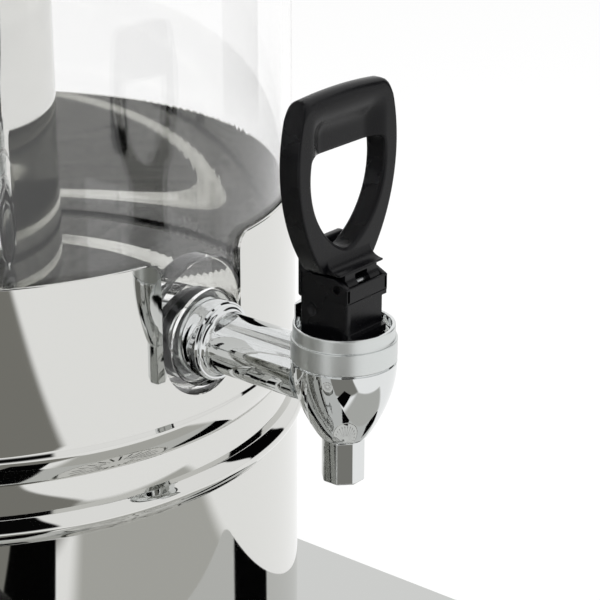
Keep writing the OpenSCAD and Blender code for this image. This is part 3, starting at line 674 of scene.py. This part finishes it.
class DISPENSER_OT_seats(Build, bpy.types.Operator):
    """Turns the pans that the tanks stand on, with a stepped ring pressed into their tops"""

    bl_idname = "dispenser.seats"
    bl_label = "Tank seats"

    def build(self):
        bottom, top, radius = extent("right_tank_seat")
        sheet, step = 1*MM, 1.2*MM
        ring, well, under = 0.78*radius, 0.16*radius, top - sheet*2.4
        upper = [(0, top - step), (well, top - step), (well + 3*MM, top), (ring - 6*MM, top),
                 (ring - 3*MM, top - step), (ring, top - step), (ring + 3*MM, top)]
        outline = upper + [(radius, top), (radius, bottom), (radius - sheet, bottom),
                           (radius - sheet, under), (0, under)]
        piece = turned(softened(outline, 1.2*MM, closed=False), TANK_AXIS, steps=160, closed=False)
        # The pan is the mirror steel painted lighter, as painted light for the light that comes through the
        # tank
        piece.data.materials.append(seat_steel_with_painted_light())
        dress_both(piece, "tank_seat", "base", "mirror_steel")


# Tanks, lids and ice tubes

class DISPENSER_OT_tanks(Build, bpy.types.Operator):
    """Turns the clear tanks and adds the thick tap bosses with their flats and bores"""

    bl_idname = "dispenser.tanks"
    bl_label = "Tanks"

    def build(self):
        size = sizes()
        bottom, top, lip = extent("right_tank")
        floor, lip_height, seat = 4*MM, 6*MM, 15*MM
        radius = lip - 1.8*MM
        inside = radius - size.tank_wall
        outline = softened([
            (0, bottom), (radius, bottom), (radius, top - lip_height), (lip, top - lip_height), (lip, top),
            (inside, top), (inside, bottom + floor), (0, bottom + floor)], 1*MM, closed=False)
        piece = turned(outline, TANK_AXIS, steps=256, closed=False)
        wall, flat, boss_back = (TANK_AXIS.y - r for r in (radius, inside, inside - 8*MM))
        boss_centre = Vector((TANK_AXIS.x, 0, TAP_Z + 4*MM))
        boss_front = flat - 0.4*MM
        boss = turned(softened([
            (0, boss_front), (size.pad_radius, boss_front), (size.pad_radius, boss_back), (0, boss_back)],
            1.2*MM, closed=False), boss_centre, axis="Y", steps=96, closed=False)
        cut(piece, boss, operation="UNION")
        bore_centre = Vector((TAP_AXIS.x, 0, TAP_Z))
        outside = wall - 5*MM
        recess = turned(softened([
            (0, outside), (seat, outside), (seat, flat), (0, flat)], 0.7*MM, closed=False),
            bore_centre, axis="Y", steps=96, closed=False)
        bore_end = boss_back + 5*MM
        bore = turned([(0, outside), (SHANK_BORE, outside), (SHANK_BORE, bore_end), (0, bore_end)],
                      bore_centre, axis="Y", steps=64, closed=False)
        cut(piece, recess)
        cut(piece, bore)
        dress_both(piece, "tank", "tank_unit", "clear_plastic")


class DISPENSER_OT_lids(Build, bpy.types.Operator):
    """Turns the lids with their rolled edges and necks"""

    bl_idname = "dispenser.lids"
    bl_label = "Lids"

    def build(self):
        low, high, edge = extent("right_lid")
        sheet, neck = 1*MM, 31.1*MM
        under = high_z("right_tank")
        cone = high - 3*MM
        outline = softened([
            (edge - sheet, low), (edge, low), (edge, under + sheet), (neck + sheet, cone),
            (neck + sheet, high), (neck, high), (neck, cone - sheet), (edge - 7*MM, under),
            (edge - sheet, under)], 1.4*MM)
        dress_both(turned(outline, TANK_AXIS), "lid", "lid_unit", "mirror_steel")


class DISPENSER_OT_ice_tubes(Build, bpy.types.Operator):
    """Turns the ice tubes, closed and rounded at the foot, with the flange that sits on the lid"""

    bl_idname = "dispenser.ice_tubes"
    bl_label = "Ice tubes"

    def build(self):
        bottom, top, flange = extent("right_ice_tube")
        radius, sheet, corner = flange - 6*MM, 1*MM, 6*MM
        foot = arc((radius - corner, bottom + corner), corner, -90, 0, 16)
        inner = arc((radius - corner, bottom + corner), corner - sheet, 0, -90, 16)
        neck = high_z("right_lid") + 0.05*MM
        outline = [(0, bottom)] + foot
        outline += [(radius, bottom + corner + 1*MM), (radius, neck - 1*MM), (radius, neck)]
        outline += [(flange - 0.5*MM, neck)] + arc((flange - sheet/2, neck + sheet/2), sheet/2, -90, 90, 6)
        outline += [(radius + 0.8*MM, neck + sheet), (radius, neck + 1.8*MM), (radius, top - sheet)]
        outline += arc((radius - sheet/2, top - sheet/2), sheet/2, 0, 180, 6) + inner + [(0, bottom + sheet)]
        dress_both(turned(outline, TANK_AXIS, closed=False), "ice_tube", "tube_unit", "mirror_steel")


class DISPENSER_OT_caps(Build, bpy.types.Operator):
    """Turns the ice tube caps and their black knobs"""

    bl_idname = "dispenser.caps"
    bl_label = "Caps and knobs"

    def build(self):
        low, high, edge = extent("right_tube_cap")
        seat = high_z("right_ice_tube")
        sheet, plug, flat, bore = 1*MM, 28.9*MM, 10*MM, 2.1*MM
        outline = softened([
            (bore, high - sheet), (flat, high - sheet), (plug - sheet, seat), (plug - sheet, low),
            (plug, low), (plug, seat), (edge, seat), (edge, seat + sheet), (flat, high), (bore, high)], 1*MM)
        dress_both(turned(outline, TANK_AXIS), "tube_cap", "cap_unit", "mirror_steel")
        bottom, top, radius = extent("right_cap_knob")
        stem = bottom + 0.6*(top - bottom)
        side = swell(flat, radius, bottom, stem, -5*MM)
        dome = [(radius*math.cos(a), stem + (top - stem)*math.sin(a)) for a in quarter(16)[1:]]
        knob = turned([(0, bottom)] + side + dome, TANK_AXIS, closed=False, steps=96)
        dress_both(knob, "cap_knob", "cap_unit", "black_plastic")


# Taps

class DISPENSER_OT_tap_bodies(Build, bpy.types.Operator):
    """Turns the chrome tap bodies: barrel and bowl upright, shank and flange along the tap"""

    bl_idname = "dispenser.tap_bodies"
    bl_label = "Tap bodies"

    def build(self):
        radius = sizes().barrel_radius
        rim, seam, bottom = BARREL_RIM, TAP_Z + 6.7*MM, BOWL_BOTTOM
        lip, lip_height, mouth, tip = radius - 0.6*MM, 4*MM, radius - 1.7*MM, 6.6*MM
        spigot, chamber, outlet = 11*MM, 10*MM, 4.2*MM
        bowl = [(tip + (radius - tip)*math.cos(math.pi/2*t)**0.85, seam - (seam - bottom)*t)
                for t in (i/40 for i in range(41))]
        ledge, groove = rim - 3.4*MM, radius - 0.45*MM
        upper = softened([
            (spigot, ledge), (mouth, ledge), (mouth, rim), (lip, rim), (lip, rim - lip_height),
            (radius, rim - lip_height), (radius, seam + 0.7*MM), (groove, seam + 0.5*MM),
            (groove, seam + 0.1*MM)], 0.5*MM, closed=False)
        socket, socket_top, shoulder = tip - 1.4*MM, bottom + 3*MM, TAP_Z + 8.8*MM
        inner = [(socket, bottom), (socket, socket_top), (outlet, socket_top), (outlet, TAP_Z - 11.7*MM),
                 (chamber, TAP_Z - 6.2*MM), (chamber, shoulder), (spigot, shoulder)]
        barrel = turned(upper + bowl + inner, TAP_AXIS, steps=192, angle=25)
        self.paint_band(barrel, seam + 0.6*MM, rim)
        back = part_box("right_tap_body")[1].y
        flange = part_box("right_tap_outer_washer")[0].y
        start = TAP_AXIS.y + 12.4*MM
        shank, ring, tail, way = 9.2*MM, 12*MM, 8.5*MM, 5*MM
        face, run = flange - 7.4*MM, 2.4*MM
        fillet = [(shank + 1.8*MM*(1 - math.cos(a)), face - run + run*math.sin(a)) for a in quarter(8)]
        outline = [(way, start), (shank, start), (shank, start + 1*MM), (shank, face - 3.2*MM)] + fillet
        outline += softened([
            fillet[-1], (ring - 0.6*MM, face), (ring, face + 0.6*MM), (ring, flange), (tail, flange),
            (tail, back), (way, back)], 0.35*MM, closed=False)[1:]
        arm = turned(outline, Vector((TAP_AXIS.x, 0, TAP_Z)), axis="Y", steps=128, angle=25)
        arm.data.materials.append(material_for("chrome"))
        dress_both(joined("tap_body", self.lug(lip, rim), arm, barrel), "tap_body", "tank_unit", "chrome")

    def lug(self, radius, rim):
        """The chrome lug on the back of the barrel rim."""
        half, inner, rise = 6*MM, 12.6*MM, 4*MM
        reach = math.degrees(math.asin(half/radius))
        plan = arc((0, 0), radius, 90 - reach, 90 + reach, 12) + [(-half, inner), (half, inner)]
        low = rim - 2*MM
        points = [(TAP_AXIS.x + x, TAP_AXIS.y + y, low) for x, y in plan]
        piece = extruded(points, (0, 0, rise + rim - low))
        soften_edges(piece, 0.5*MM)
        piece.data.materials.append(material_for("chrome"))
        return piece

    def paint_band(self, barrel, low, high):
        """Chrome all over, satin outside from the seam up to the rim."""
        barrel.data.materials.append(material_for("chrome"))
        barrel.data.materials.append(material_for("satin_band"))
        reach = sizes().barrel_radius - 0.9*MM
        for face in barrel.data.polygons:
            out = Vector((face.center.x - TAP_AXIS.x, face.center.y - TAP_AXIS.y)).length
            if low < face.center.z < high and out > reach:
                face.material_index = 1


class DISPENSER_OT_nozzles(Build, bpy.types.Operator):
    """Builds the eight sided nozzles with a rounded lower lip and a bore"""

    bl_idname = "dispenser.nozzles"
    bl_label = "Nozzles"

    def build(self):
        low, top = low_z("right_tap_nozzle"), BOWL_BOTTOM
        corner_radius, bore = 6.4*MM, 4.2*MM
        deselect()
        bpy.ops.mesh.primitive_cylinder_add(
            vertices=8, radius=corner_radius, depth=top - low, rotation=(0, 0, math.radians(22.5)),
            location=(TAP_AXIS.x, TAP_AXIS.y, (top + low)/2))
        settle()
        piece = bpy.context.object
        edit_all()
        bpy.ops.mesh.bevel(offset=0.55*MM, segments=3, affect="EDGES")
        tidy_mesh(25)
        mouth, start, end = bore + 0.5*MM, low - 1*MM, top - 1*MM
        hole = turned([(0, start), (mouth, start), (mouth, low), (bore, low + 0.8*MM), (bore, end), (0, end)],
                      TAP_AXIS, steps=48, closed=False)
        cut(piece, hole, angle=25)
        dress_both(piece, "tap_nozzle", "tank_unit", "chrome")


class DISPENSER_OT_washers(Build, bpy.types.Operator):
    """Turns the shank washers inside and outside the tank wall"""

    bl_idname = "dispenser.washers"
    bl_label = "Washers"

    def build(self):
        for node in ("tap_outer_washer", "tap_inner_washer"):
            low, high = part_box("right_" + node)
            radius, bore = (high.x - low.x)/2, SHANK_BORE
            outline = softened([(bore, low.y), (radius, low.y), (radius, high.y), (bore, high.y)], 0.5*MM)
            piece = turned(outline, Vector((TAP_AXIS.x, 0, TAP_Z)), axis="Y", steps=96)
            dress_both(piece, node, "tank_unit", "silicone")


class DISPENSER_OT_bonnets(Build, bpy.types.Operator):
    """Builds the black bonnets: a square block with ears, front ledge, recess, back tab and clip"""

    bl_idname = "dispenser.bonnets"
    bl_label = "Bonnets"

    half = 9*MM
    ear = 1.6*MM

    def build(self):
        low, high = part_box("right_bonnet")
        x, y = TAP_AXIS.x, TAP_AXIS.y
        half, ear, stem, spigot_radius = self.half, self.ear, 1.9*MM, 11*MM
        rim, deck = BARREL_RIM, HINGE.z - 3*MM
        foot = rim - 3.3*MM
        front, back = y - 8*MM, y + 8.4*MM
        body = block((x - half, front, foot), (x + half, back, deck), 0.5*MM)
        recess = block((x - half + ear, front - 2*MM, rim - 1*MM),
                       (x + half + 2*MM, front + 1.8*MM, deck - 2*MM), 0.3*MM)
        dimple = self.ball(Vector((x - half - 1.9*MM, y + 4.2*MM, TAP_Z + 23.2*MM)), 2.7*MM)
        way = turned([(0, low.z), (stem, low.z), (stem, high.z), (0, high.z)], TAP_AXIS, steps=32,
                     closed=False)
        cut(body, recess, dimple, way)
        spigot = turned(softened([
            (stem, low.z), (spigot_radius, low.z), (spigot_radius, foot), (stem, foot)], 0.5*MM),
            TAP_AXIS, steps=64)
        ledge = block((x - half, front, deck - 1*MM), (x + half, front + 0.7*MM, deck + 3.8*MM), 0.25*MM)
        tab = block((x - half, back - ear, deck - 2*MM), (x + half, back + 1.2*MM, high.z), 0.9*MM, 4)
        clip = block((x - half/2, back - 0.1*MM, deck - 3*MM),
                     (x + half/2, back + 1.8*MM, deck + 1*MM), 0.4*MM)
        sides = [self.side(start, front, back, deck) for start in (x - half, x + half - ear)]
        piece = joined("bonnet", *sides, ledge, tab, clip, spigot, body)
        dress_both(piece, "bonnet", "tank_unit", "black_plastic")

    def ball(self, centre, radius):
        deselect()
        bpy.ops.mesh.primitive_uv_sphere_add(segments=32, ring_count=16, radius=radius, location=centre)
        settle()
        return bpy.context.object

    def side(self, x, front, back, deck):
        """An ear for the hinge pin, with a front that slopes down to the ledge."""
        outline = softened([(front, deck - 1*MM), (front, deck + 3.8*MM), (front + 4.6*MM, deck + 6*MM),
                            (back, deck + 6*MM), (back, deck - 1*MM)], 0.8*MM)
        return soften_edges(extruded([(x, y, z) for y, z in outline], (self.ear, 0, 0)), 0.35*MM)


# Lever

def soft_least(values, power):
    """A smallest value that rounds the corners where two bounds meet."""
    return sum(v**-power for v in values)**(-1/power)


def clamped(value):
    return min(1, max(0, value))


def reach_to_circle(start, direction, centre, radius):
    """Distance along a direction from inside a circle to its edge."""
    away = Vector(start) - Vector(centre)
    along = away.dot(direction)
    return -along + math.sqrt(along*along - away.length_squared + radius*radius)


class DISPENSER_OT_levers(Build, bpy.types.Operator):
    """Builds the black levers: a rounded loop with a finger scoop, and a forked foot that flares forward"""

    bl_idname = "dispenser.levers"
    bl_label = "Levers"

    around = 192
    eye = Vector((0, 25*MM))
    loop_height = 54.5*MM

    def build(self):
        piece = joined("lever", self.foot(), self.loop())
        dress_both(piece, "lever_handle", "lever", "black_plastic")

    def side_bounds(self, way, half, radius, drop):
        """From the eye of the loop to the two bowed sides of an outline."""
        centres = [(side*(radius - half), self.loop_height - drop) for side in (-1, 1)]
        return [reach_to_circle(self.eye, way, centre, radius) for centre in centres]

    def outer_reach(self, way):
        """From the eye of the loop to its outer edge, and how much of that edge belongs to the top."""
        crown, neck = 160*MM, 4*MM
        bounds = self.side_bounds(way, 21.5*MM, 50*MM, 19.5*MM)
        top = reach_to_circle(self.eye, way, (0, self.loop_height - crown), crown)
        reach = soft_least(bounds + [top], 34)
        if way.y < 0:
            reach = min(reach, (neck - self.eye.y)/way.y)
        top_share = clamped(4*(min(bounds) - top)/top + 0.6) if way.y > 0 else 0
        return reach, top_share

    def inner_reach(self, way):
        """From the eye of the loop to the edge of its window."""
        top = 37.7*MM
        bounds = self.side_bounds(way, 15.95*MM, 25*MM, 22.5*MM)
        if way.y > 0.05:
            bounds.append((top - self.eye.y)/way.y)
        return soft_least(bounds, 24)

    def section(self, near, far, top_share):
        """Rounded section of the loop from its window to its outer edge: (place along the reach, depth)."""
        half = sizes().loop_thickness/2
        edge = 0.7*MM + 2.5*MM*top_share
        points = arc((far - edge, -half + edge), edge, -90, 0, 7)
        points += arc((far - edge, half - edge), edge, 0, 90, 7)
        lip = 1.1*MM
        run = far - edge - near - lip
        points += [(near + lip + run*t, half) for t in (0.75, 0.5, 0.25)]
        points += arc((near + lip, half - lip), lip, 90, 180, 5)
        points += arc((near + lip, -half + lip), lip, 180, 270, 5)
        points += [(near + lip + run*k/12, -half) for k in range(1, 12)]
        return points

    def loop(self):
        mid = HINGE.y + 6.5*MM
        rings = []
        for i in range(self.around):
            angle = math.tau*i/self.around
            way = Vector((math.cos(angle), math.sin(angle)))
            ring = []
            for along, depth in self.section(self.inner_reach(way), *self.outer_reach(way)):
                spot = self.eye + way*along
                ring.append((HINGE.x + spot.x, mid + depth + self.scoop(spot, depth), HINGE.z + spot.y))
            rings.append(ring)
        count = len(rings[0])
        faces = []
        for i in range(self.around):
            here, there = i*count, (i + 1) % self.around*count
            faces += [[here + j, there + j, there + (j + 1) % count, here + (j + 1) % count]
                      for j in range(count)]
        mesh = bpy.data.meshes.new("loop")
        mesh.from_pydata([point for ring in rings for point in ring], [], faces)
        piece = bpy.data.objects.new("loop", mesh)
        bpy.context.scene.collection.objects.link(piece)
        choose(piece)
        bpy.ops.object.mode_set(mode="EDIT")
        tidy_mesh(50)
        return piece

    def scoop(self, spot, depth):
        """How far the front of the grip bar is hollowed at this place."""
        start, half, top, fade = 36*MM, 16.4*MM, 50.2*MM, 7*MM
        if depth > 0 or spot.y < start:
            return 0.0
        across = clamped((half - abs(spot.x))/fade)
        drop = clamped((top - spot.y)/fade)
        ease = (3 - 2*across)*across**2*(3 - 2*drop)*drop**2
        share = clamped(-depth/(sizes().loop_thickness/2))
        return sizes().scoop_depth*ease*share

    def foot(self):
        """Forked foot: a toe round the pin, a block over the stem and a wide lip up to the loop."""
        toe, half, back, heel = 2.6*MM, 7*MM, 10*MM, 8.3*MM
        shelf, top, gap = 3.4*MM, 4.4*MM, 2.7*MM
        outline = [(-1.3*MM, top)] + arc((0, 0), toe, 120, 270, 14)
        outline += [(heel, -toe), (heel, toe), (back, shelf), (back, top)]
        toes = extruded([(HINGE.x - half, HINGE.y + y, HINGE.z + z) for y, z in outline], (2*half, 0, 0))
        fork = block((HINGE.x - gap, HINGE.y - 5*MM, HINGE.z - 5*MM),
                     (HINGE.x + gap, HINGE.y + 12*MM, HINGE.z + shelf), 0.3*MM, 2)
        cut(toes, fork, angle=35)
        return joined("foot", toes, self.lip(back))

    def lip(self, back):
        """The lip under the window, hollow in front."""
        half, bottom, front, loop_front = 9.6*MM, 4*MM, -1.6*MM, 3*MM
        top, drop = 8.2*MM, 3.6*MM
        hollow = [(front + (loop_front - front)*math.cos(a), top - drop*math.sin(a)) for a in quarter(14)]
        outline = hollow + [(front, bottom), (back, bottom), (back, top)]
        piece = extruded([(HINGE.x - half, HINGE.y + y, HINGE.z + z) for y, z in outline], (2*half, 0, 0))
        return soften_edges(piece, 0.25*MM)


# Drip trays

class DISPENSER_OT_trays(Build, bpy.types.Operator):
    """Turns the round drip trays with rolled rims"""

    bl_idname = "dispenser.trays"
    bl_label = "Drip trays"

    def build(self):
        centre = middle("right_drip_tray")
        low, high, radius = extent("right_drip_tray")
        sheet, ledge_width, rim = 1*MM, 4*MM, radius - 1.6*MM
        basin = radius - ledge_width
        ledge = low_z("right_drip_grate")
        outline = softened([
            (0, low), (basin, low), (basin, ledge - sheet), (radius, ledge - sheet), (radius, high),
            (rim, high), (rim, ledge), (basin - sheet, ledge), (basin - sheet, low + sheet),
            (0, low + sheet)], 0.8*MM, closed=False)
        dress_both(turned(outline, centre, closed=False, steps=160), "drip_tray", "tray_unit", "mirror_steel")


class DISPENSER_OT_grates(Build, bpy.types.Operator):
    """Cuts the radial slots of the drip grates"""

    bl_idname = "dispenser.grates"
    bl_label = "Drip grates"

    slots = 20

    def build(self):
        centre = middle("right_drip_grate")
        low, high, radius = extent("right_drip_grate")
        inner, border, width, spare = 15*MM, 8*MM, 2.6*MM, 2*MM
        outline = softened([(0, low), (radius, low), (radius, high), (0, high)], 0.3*MM, closed=False)
        disc = turned(outline, centre, steps=160, closed=False)
        outer = radius - border
        half = width/2
        slot = arc((outer - half, 0), half, -90, 90, 6) + arc((inner + half, 0), half, 90, 270, 6)
        cutters = []
        for i in range(self.slots):
            turn = math.tau*i/self.slots
            along, across = math.cos(turn), math.sin(turn)
            points = [(centre.x + r*along - s*across, centre.y + r*across + s*along, low - spare)
                      for r, s in slot]
            cutters.append(extruded(points, (0, 0, high - low + 2*spare)))
        cut(disc, joined("slots", *cutters))
        dress_both(disc, "drip_grate", "grate_unit", "mirror_steel")


class DISPENSER_OT_springs(Build, bpy.types.Operator):
    """Winds the valve springs at their rest length; the real springs shorten as a lever lifts its valve"""

    bl_idname = "dispenser.springs"
    bl_label = "Valve springs"

    turns, wire, lift = 5, 0.5*MM, 3.55*MM

    def build(self):
        bottom, top, reach = extent("right_valve_spring")
        centre, coil = middle("right_valve_spring"), reach - self.wire
        deselect()
        bpy.ops.mesh.primitive_circle_add(
            vertices=12, radius=self.wire, location=(coil, 0, 0), rotation=(math.pi/2, 0, 0))
        piece = bpy.context.object
        settle()
        wound = piece.modifiers.new("coils", "SCREW")
        wound.iterations = self.turns
        wound.screw_offset = (top - bottom - 2*self.wire)/self.turns
        wound.steps = wound.render_steps = 40
        apply_modifiers(piece)
        edit_all()
        bpy.ops.mesh.fill_holes(sides=0)
        tidy_mesh()
        piece.location = (centre.x, centre.y, bottom + self.wire)
        settle()
        dress_both(piece, "valve_spring", "tank_unit", "plain_steel")
        for side in SIDES:
            spring = bpy.data.objects[side + "_valve_spring_finish"]
            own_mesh(spring)


class DISPENSER_OT_small_parts(Build, bpy.types.Operator):
    """Gives the screws, pins and nuts of the frame their finishes"""

    bl_idname = "dispenser.small_parts"
    bl_label = "Small parts"

    def build(self):
        shared = ("foot_bosses", "foot_screws", "pedestal_screws", "pedestal_nuts")
        kept = {node: "plain_steel" for node in shared}
        for side in SIDES:
            kept.update({side + "_" + node: "plain_steel" for node in (
                "hinge_pin", "valve_stem", "stem_pin", "knob_screw")})
            kept[side + "_valve_plug"] = "silicone"
            kept[side + "_tap_nut"] = "clear_plastic"
        for node, slot in kept.items():
            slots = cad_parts[node].data.materials
            slots.clear()
            slots.append(material_for(slot))


# Stage

class DISPENSER_OT_stage(Build, bpy.types.Operator):
    """Sets up the floor, the light, the dark studio flags and the camera"""

    bl_idname = "dispenser.stage"
    bl_label = "Stage"

    def build(self):
        scene = bpy.context.scene
        scene.view_settings.view_transform = "Standard"
        # Light crosses many clear walls and mirrors before it leaves a tank
        scene.cycles.max_bounces = 48
        scene.cycles.transmission_bounces = 40
        scene.cycles.glossy_bounces = 16
        self.world(scene)
        self.floor()
        self.lights()
        self.flags()
        self.camera(scene)

    def seen(self, tree):
        """1 for rays that show the background: camera, glossy and transmission rays."""
        path = add_node(tree, "ShaderNodeLightPath").outputs
        first = calculated(tree, "MAXIMUM", path["Is Camera Ray"], path["Is Glossy Ray"])
        return calculated(tree, "MAXIMUM", first, path["Is Transmission Ray"])

    def world(self, scene):
        world = bpy.data.worlds.new("Studio white")
        scene.world = world
        world.use_nodes = True
        tree = world.node_tree
        tree.nodes.clear()
        soft, white = [add_node(tree, "ShaderNodeBackground", {
            "Color": (1, 1, 1, 1), "Strength": strength}).outputs["Background"] for strength in (0.55, 1.0)]
        add_node(tree, "ShaderNodeOutputWorld", {"Surface": mixed(tree, self.seen(tree), soft, white)})

    def floor(self):
        deselect()
        bpy.ops.mesh.primitive_plane_add(size=12)
        floor = name_piece(bpy.context.object, "studio_floor")
        material, tree = new_material("Pale studio floor")
        paper = add_node(tree, "ShaderNodeBsdfDiffuse", {"Color": linear(colours().floor)}).outputs["BSDF"]
        share = calculated(tree, "MULTIPLY", self.seen(tree), 0.85)
        finish_material(tree, mixed(tree, share, paper, glowing(tree, (1, 1, 1, 1))))
        floor.data.materials.append(material)

    def lights(self):
        middle_point = Vector((0, 0, 0.25))
        for name, place, size, power in (
                ("key", (-1.1, -1.3, 1.5), 0.9, 22), ("fill", (1.4, -0.7, 1.0), 0.7, 9),
                ("top", (0.1, 0.3, 1.7), 1.1, 14)):
            deselect()
            bpy.ops.object.light_add(type="AREA", location=place)
            lamp = bpy.context.object
            lamp.name = name
            lamp.data.shape = "SQUARE"
            lamp.data.size = size
            lamp.data.energy = power
            lamp.visible_glossy = False
            lamp.visible_transmission = False
            lamp.rotation_euler = (middle_point - Vector(place)).to_track_quat("-Z", "Y").to_euler()

    def soft_card(self, name, tone, edge):
        """Card material: its tone in the middle, fading to nothing at its edges."""
        material, tree = new_material("Studio card " + name)
        sheet = add_node(tree, "ShaderNodeTexCoord").outputs["UV"]
        parts = add_node(tree, "ShaderNodeSeparateXYZ", {"Vector": sheet})
        shares = []
        for axis in ("X", "Y"):
            away = calculated(tree, "ABSOLUTE", calculated(tree, "SUBTRACT", parts.outputs[axis], 0.5))
            shares.append(add_node(tree, "ShaderNodeMapRange", {
                "Value": away, "From Min": 0.5 - edge, "From Max": 0.5, "To Min": 1.0, "To Max": 0.0},
                interpolation_type="SMOOTHSTEP").outputs["Result"])
        share = calculated(tree, "MULTIPLY", *shares)
        empty = add_node(tree, "ShaderNodeBsdfTransparent").outputs["BSDF"]
        finish_material(tree, mixed(tree, share, empty, glowing(tree, linear(tone))))
        return material

    def place_card(self, name, tone, edge, spot, width, height, turn, lie):
        """A card that only polished metal sees, at a bearing, distance and height from the tank axis."""
        bearing, distance, level = math.radians(spot[0]), spot[1], spot[2]
        deselect()
        bpy.ops.mesh.primitive_plane_add(size=1, location=(
            TANK_AXIS.x + distance*math.cos(bearing), TANK_AXIS.y + distance*math.sin(bearing), level))
        card = name_piece(bpy.context.object, "card_" + name)
        card.rotation_euler = (0 if lie else math.pi/2, 0, math.radians(turn))
        card.scale = (width, height, 1)
        card.data.materials.append(self.soft_card(name, tone, edge))
        for ray in ("camera", "diffuse", "transmission", "volume_scatter", "shadow"):
            setattr(card, "visible_" + ray, False)

    def flags(self):
        """Grey and black cards round the object, seen only in its polished metal."""
        # Painted shade of the table, seen only in the steel: glowing grey and black cards lying on the floor,
        # one at the left of the sleeve and black and grey ones for the pedestal
        self.place_card("table_shade_left", "84837E", 0.06, (226.6, 0.531, 0.0006), 0.46, 0.40, 37.6, True)
        self.place_card("table_shade_near", "050505", 0.04, (240.7, 0.331, 0.0010), 0.085, 0.112, -12, True)
        self.place_card("table_shade_front", "BCBCB8", 0.10, (278, 0.318, 0.0008), 0.305, 0.19, 0, True)
        # Black card at the right, high enough to show in the base plate
        self.place_card("right", "060606", 0.06, (329.3, 0.617, 0.40), 0.24, 0.64, 67.9, False)
        # The dark side of the studio round the camera
        self.place_card("camera", "0A0A0A", 0.08, (237.6, 0.616, 0.82), 0.3, 1.4, 327.6, False)
        # The dark upper part of the room behind the object
        self.place_card("rear", "0C0C0C", 0.2, (135, 1.2, 1.05), 1.3, 0.6, 225, False)

    def camera(self, scene):
        # The photograph looks at the right-hand tap from the left and above
        turn, tilt = math.radians(50.5), math.radians(21.18)
        aside, away, above = 108.21*MM, 621.91*MM, 197.93*MM
        right = Vector((math.cos(turn), -math.sin(turn), 0))
        ahead = Vector((math.sin(turn), math.cos(turn), 0))
        bpy.ops.object.camera_add()
        camera = bpy.context.object
        camera.name = "photo_camera"
        camera.location = Vector((TANK_AXIS.x, TANK_AXIS.y, RIM + above)) + right*aside - ahead*away
        look = ahead*math.cos(tilt) - Vector((0, 0, math.sin(tilt)))
        camera.rotation_euler = look.to_track_quat("-Z", "Y").to_euler()
        sensor_mm, focal_pixels, photo_pixels = 36, 2022, 600
        camera.data.sensor_width = sensor_mm
        camera.data.lens = sensor_mm*focal_pixels/photo_pixels
        camera.data.clip_start = 0.01
        scene.camera = camera


OPERATORS = (
    DISPENSER_OT_base, DISPENSER_OT_feet, DISPENSER_OT_pedestals, DISPENSER_OT_collars, DISPENSER_OT_seats,
    DISPENSER_OT_tanks, DISPENSER_OT_lids, DISPENSER_OT_ice_tubes, DISPENSER_OT_caps, DISPENSER_OT_tap_bodies,
    DISPENSER_OT_nozzles, DISPENSER_OT_washers, DISPENSER_OT_bonnets, DISPENSER_OT_levers, DISPENSER_OT_trays,
    DISPENSER_OT_grates, DISPENSER_OT_springs, DISPENSER_OT_small_parts, DISPENSER_OT_stage,
)


class DISPENSER_PT_panel(bpy.types.Panel):
    """Lists the building steps in the sidebar."""

    bl_idname = "DISPENSER_PT_panel"
    bl_label = "Juice dispenser"
    bl_space_type = "VIEW_3D"
    bl_region_type = "UI"
    bl_category = "Dispenser"

    def draw(self, context):
        for operator in OPERATORS:
            self.layout.operator(operator.bl_idname)


CLASSES = (DispenserSizes, DispenserColours) + OPERATORS + (DISPENSER_PT_panel,)


def register():
    for cls in CLASSES:
        bpy.utils.register_class(cls)
    bpy.types.Scene.dispenser_sizes = bpy.props.PointerProperty(type=DispenserSizes)
    bpy.types.Scene.dispenser_colours = bpy.props.PointerProperty(type=DispenserColours)


def unregister():
    del bpy.types.Scene.dispenser_colours
    del bpy.types.Scene.dispenser_sizes
    for cls in reversed(CLASSES):
        bpy.utils.unregister_class(cls)


def main():
    register()
    for operator in OPERATORS:
        group, step = operator.bl_idname.split(".")
        getattr(getattr(bpy.ops, group), step)()


if __name__ == "__main__":
    main()
